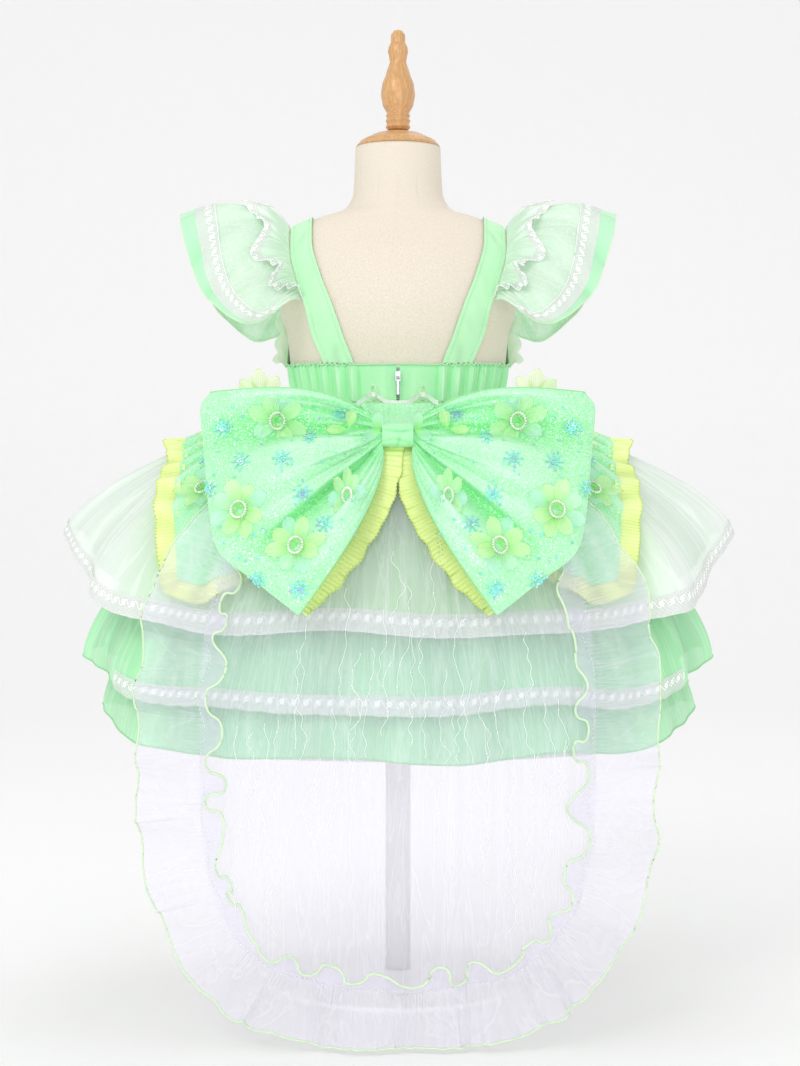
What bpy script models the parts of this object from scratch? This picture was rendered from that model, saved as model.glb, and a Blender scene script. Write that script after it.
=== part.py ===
"""A child's lolita dress with a flowered back bow and a sheer train, on a limbless dress form.

Metres, +Z up. The back of the dress, with the bow, faces -Y. The origin is the centre of the
stand's underside, so the floor is z = 0. Angles round the body start at the centre back and
grow towards +X: 90 degrees is the right side as seen from behind, 180 degrees the centre front.
"""
from collections import namedtuple
import math

import bmesh
import bpy
from mathutils import Matrix
import numpy as np

TURN = 2 * math.pi

# Cloth
CLOTH = 0.0014            # wall of the skirts and bodice
SHEER = 0.0011            # wall of organza, lace and trims
SEAM = 0.0005             # space left between sewn pieces
NEST = CLOTH + SEAM       # from one layer's middle to the next one's

# Dress form and stand
BASE_RADIUS = 0.130
BASE_HEIGHT = 0.014
POLE_RADIUS = 0.0125
FORM_BOTTOM = 0.400
FORM_SIDES = 22

# Bodice
WAIST = 0.576             # seam between bodice and skirts
BAND_TOP_SIDE = 0.615
BAND_TOP_BACK = 0.609
FRONT_TOP = 0.694
BAND_WAVES = 8            # gathers in each half of the back band
BAND_FLAT = 0.035         # half-width of the plain centre of the band
BAND_FULLNESS = 0.0028

# Zip
ZIP_HALF_WIDTH = 0.0032
SLIDER_SIZE = (0.0050, 0.0026, 0.0095)
SLIDER_Z = 0.5975
PIN_RADIUS = 0.00055
PULL_BORE = 0.00085
PULL_EYE = 0.00150
PULL_WIDTH = 0.0024
PULL_THICKNESS = 0.0010
PULL_LENGTH = 0.0160

# Skirts
UNDER_TOP = WAIST - 0.0014
UNDER_HEM = 0.2440
UNDER_HALF_WIDTH = 0.262
UNDER_HALF_DEPTH = 0.200
UNDER_FLARE = 2.0
HEM_CORNER = 8            # how sharply the hems kick up at the sides
TIER_STEPS = 4            # columns to each wave of a tier

# Train
TRAIN_TOP = 0.561
TRAIN_SIDE_END = 0.260    # where the straight side turns into the round hem
TRAIN_HALF_WIDTH = 0.172
TRAIN_SEAM_BOTTOM = 0.054
TRAIN_ROUND = 3.2         # superellipse power of the hem
RUFFLE_WAVES = 22
RUFFLE_WIDTH = 0.062
RUFFLE_HEADING = 0.012

# Bow
KNOT_Z = 0.5365
KNOT_HALF_WIDTH = 0.0140
KNOT_HALF_HEIGHT = 0.0115
KNOT_DEPTH = 0.0250
LOOP_DEPTH = 0.046
BOW_SPAN = 0.400          # half-axis of the shallow arc that the bow bends round
RIBBON_LOOP_X = 0.0235
RIBBON_LOOP_Y = -0.0834
TRIM_PLEATS = 28
TRIM_WIDTH = 0.0165
PEPLUM_PLEATS = 22
PEPLUM_TRIM_WIDTH = 0.019

# Sleeves
SLEEVE_WAVES = 5
FRILL_WAVES = 6

# Flowers
PETALS = 7
FLOWER_RADIUS = 0.0235
FLOWER_RISE = 0.0045


def table(names, rows):
    """A short table as one array for each named column."""
    return {name: np.array(column, float) for name, column in zip(names.split(), zip(*rows))}


FORM_RINGS = table("z half_width half_depth", [
    (0.400, 0.118, 0.098),
    (0.430, 0.119, 0.099),
    (0.480, 0.112, 0.092),
    (0.550, 0.095, 0.077),
    (0.583, 0.100, 0.080),
    (0.615, 0.107, 0.083),
    (0.647, 0.1105, 0.0865),
    (0.665, 0.1165, 0.0860),
    (0.705, 0.1175, 0.0770),
    (0.725, 0.1165, 0.0680),
    (0.742, 0.1130, 0.0580),
    (0.752, 0.1020, 0.0530),
    (0.758, 0.0900, 0.0500),
    (0.763, 0.0750, 0.0490),
    (0.767, 0.0600, 0.0480),
    (0.773, 0.0510, 0.0460),
    (0.788, 0.0445, 0.0435),
    (0.832, 0.0425, 0.0400),
])

# Turned wood: radius against height above the neck
CAP_PROFILE = [
    (0.0000, 0.8500), (0.0120, 0.8490), (0.0260, 0.8450), (0.0380, 0.8385), (0.0420, 0.8335),
    (0.0415, 0.8323), (0.0000, 0.8323)]
FINIAL_PROFILE = [
    (0.0000, 0.9510), (0.0045, 0.9498), (0.0072, 0.9455), (0.0072, 0.9385), (0.0095, 0.9335),
    (0.0102, 0.9290), (0.0090, 0.9240), (0.0082, 0.9190), (0.0120, 0.9070), (0.0160, 0.8960),
    (0.0172, 0.8860), (0.0155, 0.8760), (0.0110, 0.8670), (0.0122, 0.8650), (0.0110, 0.8625),
    (0.0124, 0.8600), (0.0112, 0.8570), (0.0124, 0.8535), (0.0100, 0.8504), (0.0000, 0.8504)]
BASE_PROFILE = [
    (0.0000, BASE_HEIGHT), (0.0200, BASE_HEIGHT), (0.0300, 0.0115), (0.1220, 0.0085),
    (0.1290, 0.0060), (BASE_RADIUS, 0.0030), (0.1285, 0.0000), (0.0000, 0.0000)]

# Strap from the back band over the shoulder: rise is the height as a share of the way up
STRAP_BACK = table("rise middle half_width", [
    (0.00, 0.0570, 0.0148),
    (0.17, 0.0680, 0.0150),
    (0.35, 0.0760, 0.0134),
    (0.57, 0.0870, 0.0118),
    (0.80, 0.0945, 0.0108),
    (1.00, 0.0950, 0.0105),
])
STRAP_FRONT = table("rise middle half_width", [
    (0.00, 0.0700, 0.0125),
    (0.50, 0.0850, 0.0110),
    (1.00, 0.0950, 0.0105),
])

# Outer edge of a sleeve from its back corner to the shoulder; the front half mirrors it
SLEEVE_EDGE = table("share x y z", [
    (0.00, 0.116, -0.084, 0.657),
    (0.12, 0.147, -0.086, 0.649),
    (0.25, 0.180, -0.066, 0.671),
    (0.38, 0.203, -0.048, 0.712),
    (0.45, 0.213, -0.028, 0.751),
    (0.50, 0.219, 0.000, 0.771),
])

Tier = namedtuple("Tier", "name top side_hem back_hem half_width half_depth flare wave waves rows")
TIER_A = Tier("tier_a", 0.5735, 0.448, 0.360, 0.324, 0.232, 1.7, 0.0060, 13, 4)
TIER_B = Tier("tier_b", 0.4750, 0.333, 0.290, 0.305, 0.226, 1.7, 0.0048, 13, 3)
TIER_C = Tier("tier_c", 0.4150, 0.276, 0.247, 0.290, 0.221, 1.4, 0.0038, 13, 2)

# How far down tier A the peplum reaches, by angle from the centre back
PEPLUM_HEM = table("angle reach", [
    (16, 0.10), (20, 0.45), (24, 0.68), (28, 0.77), (34, 0.82), (39, 0.81), (42, 0.73),
    (45, 0.65), (50, 0.55), (60, 0.42), (75, 0.335), (90, 0.31), (130, 0.36), (180, 0.42)])

# The train's hang: ellipse that it follows at each height
TRAIN_HANG = table("z half_width half_depth", [
    (0.000, 0.345, 0.252),
    (0.300, 0.345, 0.249),
    (0.360, 0.345, 0.246),
    (0.420, 0.336, 0.2405),
    (0.450, 0.326, 0.2260),
    (0.500, 0.280, 0.1840),
    (0.530, 0.240, 0.1545),
    (0.561, 0.210, 0.1010),
])
TRAIN_SIDE = table("z half_width", [
    (0.260, 0.172), (0.300, 0.172), (0.360, 0.168), (0.410, 0.155), (0.455, 0.134),
    (0.505, 0.100), (0.561, 0.045)])

# The bow: where its back lies, and the outer edge of a wing from its top to its lower tip
BOW_BACK = table("z depth", [
    (0.370, 0.2540), (0.420, 0.2465), (0.450, 0.2320), (0.500, 0.1905), (0.536, 0.1590),
    (0.580, 0.1400)])
WING_EDGE = table("share x z", [
    (0.00, 0.172, 0.577), (0.12, 0.181, 0.562), (0.35, 0.172, 0.500), (0.58, 0.158, 0.436),
    (0.80, 0.120, 0.404), (1.00, 0.085, 0.377)])
# Folds that run out from the knot in a wing's front
WING_FOLDS = table("share width height", [
    (0.06, 0.07, 0.006), (0.22, 0.09, -0.010), (0.44, 0.10, 0.010), (0.70, 0.08, -0.016),
    (0.88, 0.08, 0.006)])

# Flowers on each wing, and on the peplum by angle and by share of the way down tier A
WING_FLOWERS = table("x z narrow", [
    (0.108, 0.549, 1.0), (0.137, 0.467, 1.0), (0.086, 0.436, 0.95), (0.0440, 0.478, 0.60)])
PEPLUM_FLOWERS = table("angle down", [(68, 0.22), (47, 0.44)])
EDGE_FLOWER = (0.127, 0.566)

Finish = namedtuple("Finish", "colour roughness metallic")
FINISHES = {
    "Linen": Finish((0.94, 0.87, 0.76), 0.90, 0.0),
    "Turned wood": Finish((0.62, 0.33, 0.12), 0.35, 0.0),
    "White enamel": Finish((0.90, 0.90, 0.89), 0.35, 0.0),
    "Mint satin": Finish((0.52, 0.97, 0.62), 0.60, 0.0),
    "Mint glitter tulle": Finish((0.46, 0.92, 0.58), 0.50, 0.0),
    "Mint organza": Finish((0.58, 0.92, 0.66), 0.50, 0.0),
    "Pale organza": Finish((0.82, 0.93, 0.84), 0.50, 0.0),
    "White cotton": Finish((0.93, 0.93, 0.92), 0.80, 0.0),
    "White lace": Finish((0.95, 0.97, 0.95), 0.70, 0.0),
    "Sheer train organza": Finish((0.88, 0.88, 0.94), 0.45, 0.0),
    "Yellow pleated trim": Finish((0.86, 0.93, 0.42), 0.60, 0.0),
    "Pale ribbon": Finish((0.85, 0.95, 0.86), 0.40, 0.0),
    "Zip metal": Finish((0.70, 0.70, 0.72), 0.30, 1.0),
    "Zip tape": Finish((0.60, 0.90, 0.68), 0.70, 0.0),
    "Flower film": Finish((0.70, 0.95, 0.52), 0.30, 0.0),
}


def along(rows, key, column, at):
    """A column's value where the key column is `at`, on a cubic through the rows that never
    overshoots them."""
    x, y = rows[key], rows[column]
    slope = np.diff(y) / np.diff(x)
    tangent = np.concatenate([slope[:1], np.zeros(len(slope) - 1), slope[-1:]])
    for i in range(1, len(slope)):
        if slope[i - 1] * slope[i] > 0:
            tangent[i] = 2 * slope[i - 1] * slope[i] / (slope[i - 1] + slope[i])
    at = np.clip(at, x[0], x[-1])
    i = np.clip(np.searchsorted(x, at) - 1, 0, len(x) - 2)
    step = x[i + 1] - x[i]
    t = (at - x[i]) / step
    return (y[i] * (1 + 2 * t) * (1 - t) ** 2 + y[i + 1] * t * t * (3 - 2 * t)
            + step * tangent[i] * t * (1 - t) ** 2 - step * tangent[i + 1] * t * t * (1 - t))


def point(x, y, z):
    """Coordinates joined into points, broadcast against each other."""
    return np.stack(np.broadcast_arrays(x, y, z), axis=-1).astype(float)


def smoothstep(t):
    """0 below 0, 1 above 1 and an S-curve between."""
    t = np.clip(t, 0, 1)
    return t * t * (3 - 2 * t)


def unit(vectors):
    """Vectors scaled to length 1."""
    return vectors / np.maximum(np.linalg.norm(vectors, axis=-1, keepdims=True), 1e-9)


def normals(grid, closed, towards):
    """Unit normals of a grid of points, on the side that faces the direction field `towards`."""
    if closed:
        along_columns = np.roll(grid, -1, axis=0) - np.roll(grid, 1, axis=0)
    else:
        along_columns = np.gradient(grid, axis=0)
    across = np.cross(along_columns, np.gradient(grid, axis=1))
    facing = np.sum(across * towards, axis=-1, keepdims=True)
    return unit(across * np.where(facing < 0, -1, 1))


def from_axis(grid):
    """The horizontal direction from the body's axis to each point."""
    return grid * np.array([1.0, 1.0, 0.0])


def between(grid, rows):
    """Points of a grid at fractional row numbers, on the straight lines between its rows."""
    rows = np.asarray(rows, float)
    low = np.clip(rows.astype(int), 0, grid.shape[1] - 2)
    share = (rows - low)[None, :, None]
    return grid[:, low] * (1 - share) + grid[:, low + 1] * share


def seen_from_behind(grid, x, z):
    """The y of a grid's facets at (x, z), the one nearest the viewer behind the dress. A point
    beside the grid takes the nearest grid point's y."""
    corners = [grid[:-1, :-1], grid[1:, :-1], grid[1:, 1:], grid[:-1, 1:]]
    triangles = []
    for a, b, c in ((0, 1, 2), (0, 2, 3), (0, 1, 3), (1, 2, 3)):
        triangles.append(np.stack([corners[a], corners[b], corners[c]], axis=2).reshape(-1, 3, 3))
    a, b, c = np.concatenate(triangles).transpose(1, 0, 2)
    flat = grid.reshape(-1, 3)
    found = np.empty(np.shape(x))
    area = (b[:, 0] - a[:, 0]) * (c[:, 2] - a[:, 2]) - (c[:, 0] - a[:, 0]) * (b[:, 2] - a[:, 2])
    area = np.where(np.abs(area) < 1e-12, 1e-12, area)
    for place in np.ndindex(found.shape):
        px, pz = x[place], z[place]
        to_b = ((px - a[:, 0]) * (c[:, 2] - a[:, 2]) - (c[:, 0] - a[:, 0]) * (pz - a[:, 2])) / area
        to_c = ((b[:, 0] - a[:, 0]) * (pz - a[:, 2]) - (px - a[:, 0]) * (b[:, 2] - a[:, 2])) / area
        inside = (to_b >= -1e-6) & (to_c >= -1e-6) & (to_b + to_c <= 1 + 1e-6)
        if inside.any():
            y = a[:, 1] + to_b * (b[:, 1] - a[:, 1]) + to_c * (c[:, 1] - a[:, 1])
            found[place] = y[inside].min()
        else:
            nearest = np.argmin((flat[:, 0] - px) ** 2 + (flat[:, 2] - pz) ** 2)
            found[place] = flat[nearest, 1]
    return found


def over_cloth(grid, x, z, height):
    """The y nearest the viewer round each place of a flower that is `height` above a grid."""
    around = 0.001 + 0.9 * height
    nearby = [seen_from_behind(grid, x + around * dx, z + around * dz)
              for dx, dz in ((0, 0), (1, 0), (-1, 0), (0, 1), (0, -1))]
    return np.min(nearby, axis=0)


def clear_scene():
    """Remove what the startup file holds."""
    for obj in list(bpy.data.objects):
        bpy.data.objects.remove(obj, do_unlink=True)


def finish(name):
    """The named material, made at its first use."""
    found = bpy.data.materials.get(name)
    if found:
        return found
    made = bpy.data.materials.new(name)
    made.use_nodes = True
    shader = made.node_tree.nodes["Principled BSDF"]
    shader.inputs["Base Color"].default_value = (*FINISHES[name].colour, 1.0)
    shader.inputs["Roughness"].default_value = FINISHES[name].roughness
    shader.inputs["Metallic"].default_value = FINISHES[name].metallic
    return made


def add(name, mesh, material):
    """A mesh as a named object of the dress, with its material."""
    obj = bpy.data.objects.new(name, mesh)
    mesh.materials.append(finish(material))
    mesh.shade_smooth()
    mesh.set_sharp_from_angle(angle=math.radians(40))
    bpy.data.collections["Lolita dress"].objects.link(obj)
    return obj


def wall(name, grid, material, thickness=CLOTH, closed=False):
    """Cloth: the grid of points (columns, rows) as an open surface, thickened both ways."""
    columns, rows = grid.shape[:2]
    faces = []
    for i in range(columns if closed else columns - 1):
        here, following = i * rows, (i + 1) % columns * rows
        faces += [(here + j, following + j, following + j + 1, here + j + 1)
                  for j in range(rows - 1)]
    mesh = bpy.data.meshes.new(name)
    mesh.from_pydata(grid.reshape(-1, 3).tolist(), [], faces)
    obj = add(name, mesh, material)
    thicken = obj.modifiers.new("Cloth", "SOLIDIFY")
    thicken.thickness = thickness
    thicken.offset = 0.0
    return obj


def loft(name, rings, material):
    """A closed solid through a stack of rings, capped at both ends."""
    count, sides = rings.shape[:2]
    faces = []
    for i in range(count - 1):
        faces += [(i * sides + j, i * sides + (j + 1) % sides, (i + 1) * sides + (j + 1) % sides,
                   (i + 1) * sides + j) for j in range(sides)]
    faces += [tuple(range(sides)), tuple(range((count - 1) * sides, count * sides))]
    mesh = bpy.data.meshes.new(name)
    mesh.from_pydata(rings.reshape(-1, 3).tolist(), [], faces)
    face_outwards(mesh)
    return add(name, mesh, material)


def face_outwards(mesh):
    """Turn a closed mesh's faces out."""
    shape = bmesh.new()
    shape.from_mesh(mesh)
    bmesh.ops.recalc_face_normals(shape, faces=shape.faces)
    shape.to_mesh(mesh)
    shape.free()


def turned(name, profile, material, steps):
    """A turned solid: the profile runs from the axis at the top down the outside."""
    mesh = bpy.data.meshes.new(name)
    edges = [(i, i + 1) for i in range(len(profile) - 1)]
    mesh.from_pydata([(radius, 0, z) for radius, z in profile], edges, [])
    obj = add(name, mesh, material)
    spin = obj.modifiers.new("Turned", "SCREW")
    spin.axis = "Z"
    spin.angle = TURN
    spin.screw_offset = 0.0
    spin.steps = steps
    spin.render_steps = steps
    spin.use_merge_vertices = True
    spin.merge_threshold = 0.00005
    spin.use_smooth_shade = True
    return obj


def box(name, size, centre, material=None):
    """A box with its place in its mesh; without a material it is left for a union."""
    bpy.ops.mesh.primitive_cube_add(size=1.0, location=centre)
    obj = bpy.context.active_object
    obj.scale = size
    return settle(obj, name, material)


def rod(name, radius, length, centre, material=None, across=False, sides=16):
    """A cylinder along Z, or along X when it runs across."""
    turn = (0, math.pi / 2, 0) if across else (0, 0, 0)
    bpy.ops.mesh.primitive_cylinder_add(vertices=sides, radius=radius, depth=length, location=centre,
                                        rotation=turn)
    return settle(bpy.context.active_object, name, material)


def settle(obj, name, material):
    """Apply a primitive's place to its mesh, and name it."""
    bpy.context.view_layer.update()
    obj.data.transform(obj.matrix_world)
    obj.matrix_world.identity()
    obj.name = name
    obj.data.name = name
    for old in list(obj.users_collection):
        old.objects.unlink(obj)
    bpy.data.collections["Lolita dress" if material else "Tools"].objects.link(obj)
    if material:
        obj.data.materials.append(finish(material))
    else:
        obj.hide_render = True
        obj.display_type = "WIRE"
    return obj


def combine(obj, tool, operation):
    """Join a tool to an object, or cut it out."""
    change = obj.modifiers.new(operation.capitalize(), "BOOLEAN")
    change.operation = operation
    change.object = tool


def form_skin(angle, z, out=0.0):
    """A point `out` from the form's skin at an angle and height."""
    half_width = along(FORM_RINGS, "z", "half_width", z) + out
    half_depth = along(FORM_RINGS, "z", "half_depth", z) + out
    return point(half_width * np.sin(angle), -half_depth * np.cos(angle), z)


def over_shoulder(x, rise, end, back, out):
    """A point over the form at x: rise is 0 at height `end` and 1 on the shoulder's ridge, on
    the back or the front."""
    widths, heights = FORM_RINGS["half_width"][8:] + out, FORM_RINGS["z"][8:]
    ridge = np.interp(-np.abs(x), -widths, heights) + out
    z = end + (ridge - end) * rise
    share = x / (along(FORM_RINGS, "z", "half_width", z - out) + out)
    half_depth = along(FORM_RINGS, "z", "half_depth", z - out) + out
    depth = half_depth * np.sqrt(np.clip(1 - share ** 2, 0, 1))
    return point(x, -depth if back else depth, z)


def make_form():
    """Linen torso, wooden cap and finial, pole and round foot."""
    angle = np.linspace(0, TURN, FORM_SIDES, endpoint=False)
    rings = np.stack([form_skin(angle, np.full(FORM_SIDES, z)) for z in FORM_RINGS["z"]])
    loft("form_torso", rings, "Linen")
    turned("form_neck_cap", CAP_PROFILE, "Turned wood", 18)
    turned("form_finial", FINIAL_PROFILE, "Turned wood", 12)
    turned("form_base", BASE_PROFILE, "White enamel", 32)
    low, high = BASE_HEIGHT + 0.0003, FORM_BOTTOM - 0.0003
    rod("form_pole", POLE_RADIUS, high - low, (0, 0, (low + high) / 2), "White enamel")


def front_top(angle):
    """Height of the front panel's top edge: low under the arms, high between the straps."""
    past_side = (math.pi / 2 - np.abs(angle - math.pi)) / (math.pi / 2)
    return BAND_TOP_SIDE + (FRONT_TOP - BAND_TOP_SIDE) * smoothstep(past_side / 0.42)


def make_bodice():
    """Front panel, and two gathered back bands either side of the zip."""
    out = CLOTH / 2 + 0.0008
    angle = np.linspace(math.pi / 2 + 0.003, 1.5 * math.pi - 0.003, 21)[:, None]
    up = np.linspace(0, 1, 5)[None, :]
    z = WAIST + (front_top(angle) - WAIST) * up
    ease = 0.0022 * smoothstep(up / 0.5)
    wall("bodice_front", form_skin(angle + 0 * up, z, out + ease), "Mint satin")
    inner = math.asin((ZIP_HALF_WIDTH + 0.0005) / 0.104)
    flat = math.asin(BAND_FLAT / 0.105)
    plain = np.linspace(inner, flat, 4)
    gathered = np.linspace(flat, math.pi / 2 - 0.003, BAND_WAVES * 4 + 1)
    angle = np.concatenate([plain[:-1], gathered])[:, None]
    share = np.clip((angle - flat) / (math.pi / 2 - flat), 0, 1)
    top = BAND_TOP_BACK + (BAND_TOP_SIDE - BAND_TOP_BACK) * share
    up = np.array([0.0, 0.5, 1.0])[None, :]
    z = WAIST + (top - WAIST) * up
    gather = BAND_FULLNESS * (1 - np.cos(TURN * BAND_WAVES * share)) / 2
    grid = form_skin(angle + 0 * up, z, out + gather * (0.45 + 0.55 * np.sin(math.pi * up)))
    for side, name in ((-1, "bodice_back_left"), (1, "bodice_back_right")):
        wall(name, grid * np.array([side, 1, 1]), "Mint satin")


def strap_grid():
    """The right strap: columns along it from the back band to the front panel, rows across."""
    across = np.linspace(-1, 1, 4)[None, :]
    out = CLOTH / 2 + 0.0010
    rises = np.sin(np.linspace(0, math.pi / 2, 9))[:, None]
    x = strap_x(STRAP_BACK, rises, across)
    end = BAND_TOP_BACK + (BAND_TOP_SIDE - BAND_TOP_BACK) * np.clip((x - BAND_FLAT) / 0.07, 0, 1)
    back = over_shoulder(x, rises, end + SEAM, True, out)
    rises = rises[-2::-1]
    x = strap_x(STRAP_FRONT, rises, across)
    front = over_shoulder(x, rises, FRONT_TOP + SEAM, False, out)
    return np.concatenate([back, front])


def strap_x(strap, rise, across):
    """How far out a strap's points lie; `across` runs from -1 at its inner edge to 1."""
    return along(strap, "rise", "middle", rise) + across * along(strap, "rise", "half_width", rise)


def sleeve_grid():
    """The right sleeve: columns along its seam from back to front, rows from seam to edge. It
    is arched between the two and waves towards its edge."""
    columns, rows = SLEEVE_WAVES * 4 + 1, 5
    share = np.linspace(0, 1, columns)
    strap = strap_grid()
    edge_line = strap[:, -1]
    length = np.concatenate([[0], np.cumsum(np.linalg.norm(np.diff(edge_line, axis=0), axis=1))])
    start, end = 0.25 * length[-1], 0.86 * length[-1]
    at = start + (end - start) * share
    seam = np.stack([np.interp(at, length, edge_line[:, k]) for k in range(3)], axis=-1)
    seam = seam + np.array([0.0012, 0, 0.0]) + 0.0005 * unit(from_axis(seam))
    half = np.minimum(share, 1 - share)
    front = np.where(share > 0.5, -1, 1)
    edge = point(along(SLEEVE_EDGE, "share", "x", half), front * along(SLEEVE_EDGE, "share", "y", half),
                 along(SLEEVE_EDGE, "share", "z", half))
    out = np.linspace(0, 1, rows)[None, :, None]
    top = smoothstep((half - 0.15) / 0.35)[:, None]
    lift = unit(np.concatenate([0 * top + 0.1, -front[:, None] * (1 - top), 0.35 + 0.65 * top], axis=1))
    arch = (0.010 + 0.010 * top)[:, None] * np.sin(math.pi * out ** 0.9)
    wave = 0.0035 * out * np.cos(TURN * SLEEVE_WAVES * share)[:, None, None]
    return seam[:, None] * (1 - out) + edge[:, None] * out + lift[:, None] * (arch + wave)


def make_straps_and_sleeves():
    """Straps, flutter sleeves, the lace near their edges and the frills on their seams."""
    strap = strap_grid()
    sleeve = sleeve_grid()
    facing = normals(sleeve, False, point(0.3, np.sign(sleeve[:, :, 1]), 1.0))
    lace = between(sleeve, [3.12, 3.72]) + between(facing, [3.12, 3.72]) * (NEST + 0.0001)
    share = np.linspace(0, 1, sleeve.shape[0])[:, None]
    out = np.array([0.10, 0.35, 0.62])
    frill = between(sleeve, out)
    stand = 0.0021 + np.array([0.0, 0.006, 0.010]) * (1 + 0.55 * np.cos(TURN * FRILL_WAVES * share))
    frill = frill + between(facing, out) * stand[:, :, None]
    for side, name in ((-1, "left"), (1, "right")):
        flip = np.array([side, 1, 1])
        wall("strap_" + name, strap * flip, "Mint satin")
        wall("sleeve_" + name, sleeve * flip, "Mint organza", SHEER)
        wall("sleeve_lace_" + name, lace * flip, "White lace", SHEER)
        wall("sleeve_frill_" + name, frill * flip, "White lace", SHEER)


def make_side_frills():
    """Petal frills that stand out from the front panel's armhole edges."""
    angle = np.linspace(math.radians(93), math.radians(122), 13)[:, None]
    share = np.linspace(0, 1, 13)[:, None]
    base = form_skin(angle, front_top(angle) - 0.004, CLOTH * 1.5 + 0.0036)
    petal = 0.009 + 0.005 * np.abs(np.sin(4 * math.pi * share))
    fringe = base + (unit(from_axis(base[:, 0])) * petal)[:, None] + np.array([0, 0, 0.005])
    middle = (base + fringe) / 2 + np.array([0, 0, 0.001])
    grid = np.concatenate([base, middle, fringe], axis=1)
    for side, name in ((-1, "side_frill_left"), (1, "side_frill_right")):
        wall(name, grid * np.array([side, 1, 1]), "White lace", SHEER)


def make_zip():
    """Tape between the back bands, slider with its bridge pin, and the pull that hangs on it."""
    z = np.linspace(WAIST, BAND_TOP_BACK - 0.0005, 4)[None, :]
    x = np.array([[-ZIP_HALF_WIDTH], [0], [ZIP_HALF_WIDTH]])
    depth = along(FORM_RINGS, "z", "half_depth", z) + 0.0014
    wall("zip_tape", point(x, -depth, z), "Zip tape", SHEER)
    tape = -(float(along(FORM_RINGS, "z", "half_depth", SLIDER_Z)) + 0.0014 + SHEER / 2)
    width, depth, height = SLIDER_SIZE
    slider_y = tape - 0.0007 - depth / 2
    slider = box("zip_slider", SLIDER_SIZE, (0, slider_y, SLIDER_Z), "Zip metal")
    pin_y = slider_y - depth / 2 - PULL_EYE - 0.0004
    pin_z = SLIDER_Z - height / 2 + 0.0030
    for side in (-1, 1):
        lug_end = pin_y - PIN_RADIUS - 0.0005
        lug = box("slider_lug", (0.0009, slider_y - lug_end, 0.0026),
                  (side * (width / 2 - 0.00045), (slider_y + lug_end) / 2, pin_z))
        combine(slider, lug, "UNION")
    pin = rod("slider_pin", PIN_RADIUS, width - 0.0008, (0, pin_y, pin_z), across=True, sides=12)
    combine(slider, pin, "UNION")
    pull = box("zip_pull", (PULL_WIDTH, PULL_THICKNESS, PULL_LENGTH),
               (0, pin_y, pin_z - PULL_LENGTH / 2), "Zip metal")
    eye = rod("pull_eye", PULL_EYE, PULL_WIDTH, (0, pin_y, pin_z), across=True, sides=16)
    combine(pull, eye, "UNION")
    bore = rod("pull_bore", PULL_BORE, PULL_WIDTH * 2, (0, pin_y, pin_z), across=True, sides=16)
    combine(pull, bore, "DIFFERENCE")


def underskirt_size(z):
    """Half-width and half-depth of the underskirt at a height."""
    down = np.clip((UNDER_TOP - z) / (UNDER_TOP - UNDER_HEM), 0, 1)
    spread = 1 - (1 - down) ** UNDER_FLARE
    waist_width = float(along(FORM_RINGS, "z", "half_width", WAIST)) + NEST
    waist_depth = float(along(FORM_RINGS, "z", "half_depth", WAIST)) + NEST
    return (waist_width + (UNDER_HALF_WIDTH - waist_width) * spread,
            waist_depth + (UNDER_HALF_DEPTH - waist_depth) * spread)


def underskirt_grid(columns):
    """The underskirt from the waist to its hem, as columns of points all round."""
    angle = np.linspace(0, TURN, columns, endpoint=False)[:, None]
    z = np.array([UNDER_TOP, 0.530, TIER_B.top, TIER_C.top, 0.330, UNDER_HEM])[None, :]
    half_width, half_depth = underskirt_size(z)
    return point(half_width * np.sin(angle), -half_depth * np.cos(angle), z)


def tier_surface(tier, angle, down):
    """A tier's point at an angle and a share of its way down. It starts on the underskirt,
    spreads quickly at first, and waves more towards its hem."""
    start_width, start_depth = underskirt_size(tier.top)
    corner = np.abs(np.sin(angle)) ** HEM_CORNER
    hem = tier.back_hem + (tier.side_hem - tier.back_hem) * corner
    spread = 1 - (1 - down) ** tier.flare
    wave = tier.wave * down ** 1.5 * np.cos(tier.waves * angle)
    seat = NEST + 0.0004
    half_width = start_width + seat + (tier.half_width - start_width - seat) * spread + wave
    half_depth = start_depth + seat + (tier.half_depth - start_depth - seat) * spread + wave
    z = tier.top + (hem - tier.top) * down
    return point(half_width * np.sin(angle), -half_depth * np.cos(angle), z)


def tier_facing(tier, angle, down):
    """The direction square to a tier's outer face."""
    step = 0.002
    low = np.minimum(down, 1 - step)
    run = tier_surface(tier, angle + step, low) - tier_surface(tier, angle - step, low)
    fall = tier_surface(tier, angle, low + step) - tier_surface(tier, angle, low)
    return unit(np.cross(fall, run))


def tier_grid(tier):
    """A tier all round, as columns of points."""
    angle = np.linspace(0, TURN, tier.waves * TIER_STEPS, endpoint=False)[:, None]
    down = np.linspace(0, 1, tier.rows + 1)[None, :] ** 1.25
    return tier_surface(tier, angle, down)


def make_skirts():
    """Underskirt, three tiers, and lace on the first hem and the back of the second."""
    wall("underskirt", underskirt_grid(28), "White cotton", closed=True)
    for tier in (TIER_A, TIER_B, TIER_C):
        grid = tier_grid(tier)
        material = "Pale organza" if tier is TIER_A else "Mint organza"
        wall(tier.name, grid, material, closed=True)
        facing = normals(grid, True, from_axis(grid))
        if tier is TIER_A:
            lace = between(grid, [3.70, 4.0]) + between(facing, [3.70, 4.0]) * (NEST + 0.0003)
            wall("lace_a", lace, "White lace", SHEER, closed=True)
        if tier is TIER_B:
            half = tier.waves * TIER_STEPS // 6
            lace = between(grid, [2.78, 3.0]) + between(facing, [2.78, 3.0]) * (NEST + 0.0003)
            wall("lace_b", np.roll(lace, half, axis=0)[:2 * half + 1], "White lace", SHEER)


def peplum_down(angle, share):
    """How far down tier A a share of the peplum's own length comes."""
    reach = along(PEPLUM_HEM, "angle", "reach", np.degrees(angle))
    return 0.012 + (reach - 0.012) * share


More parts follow.
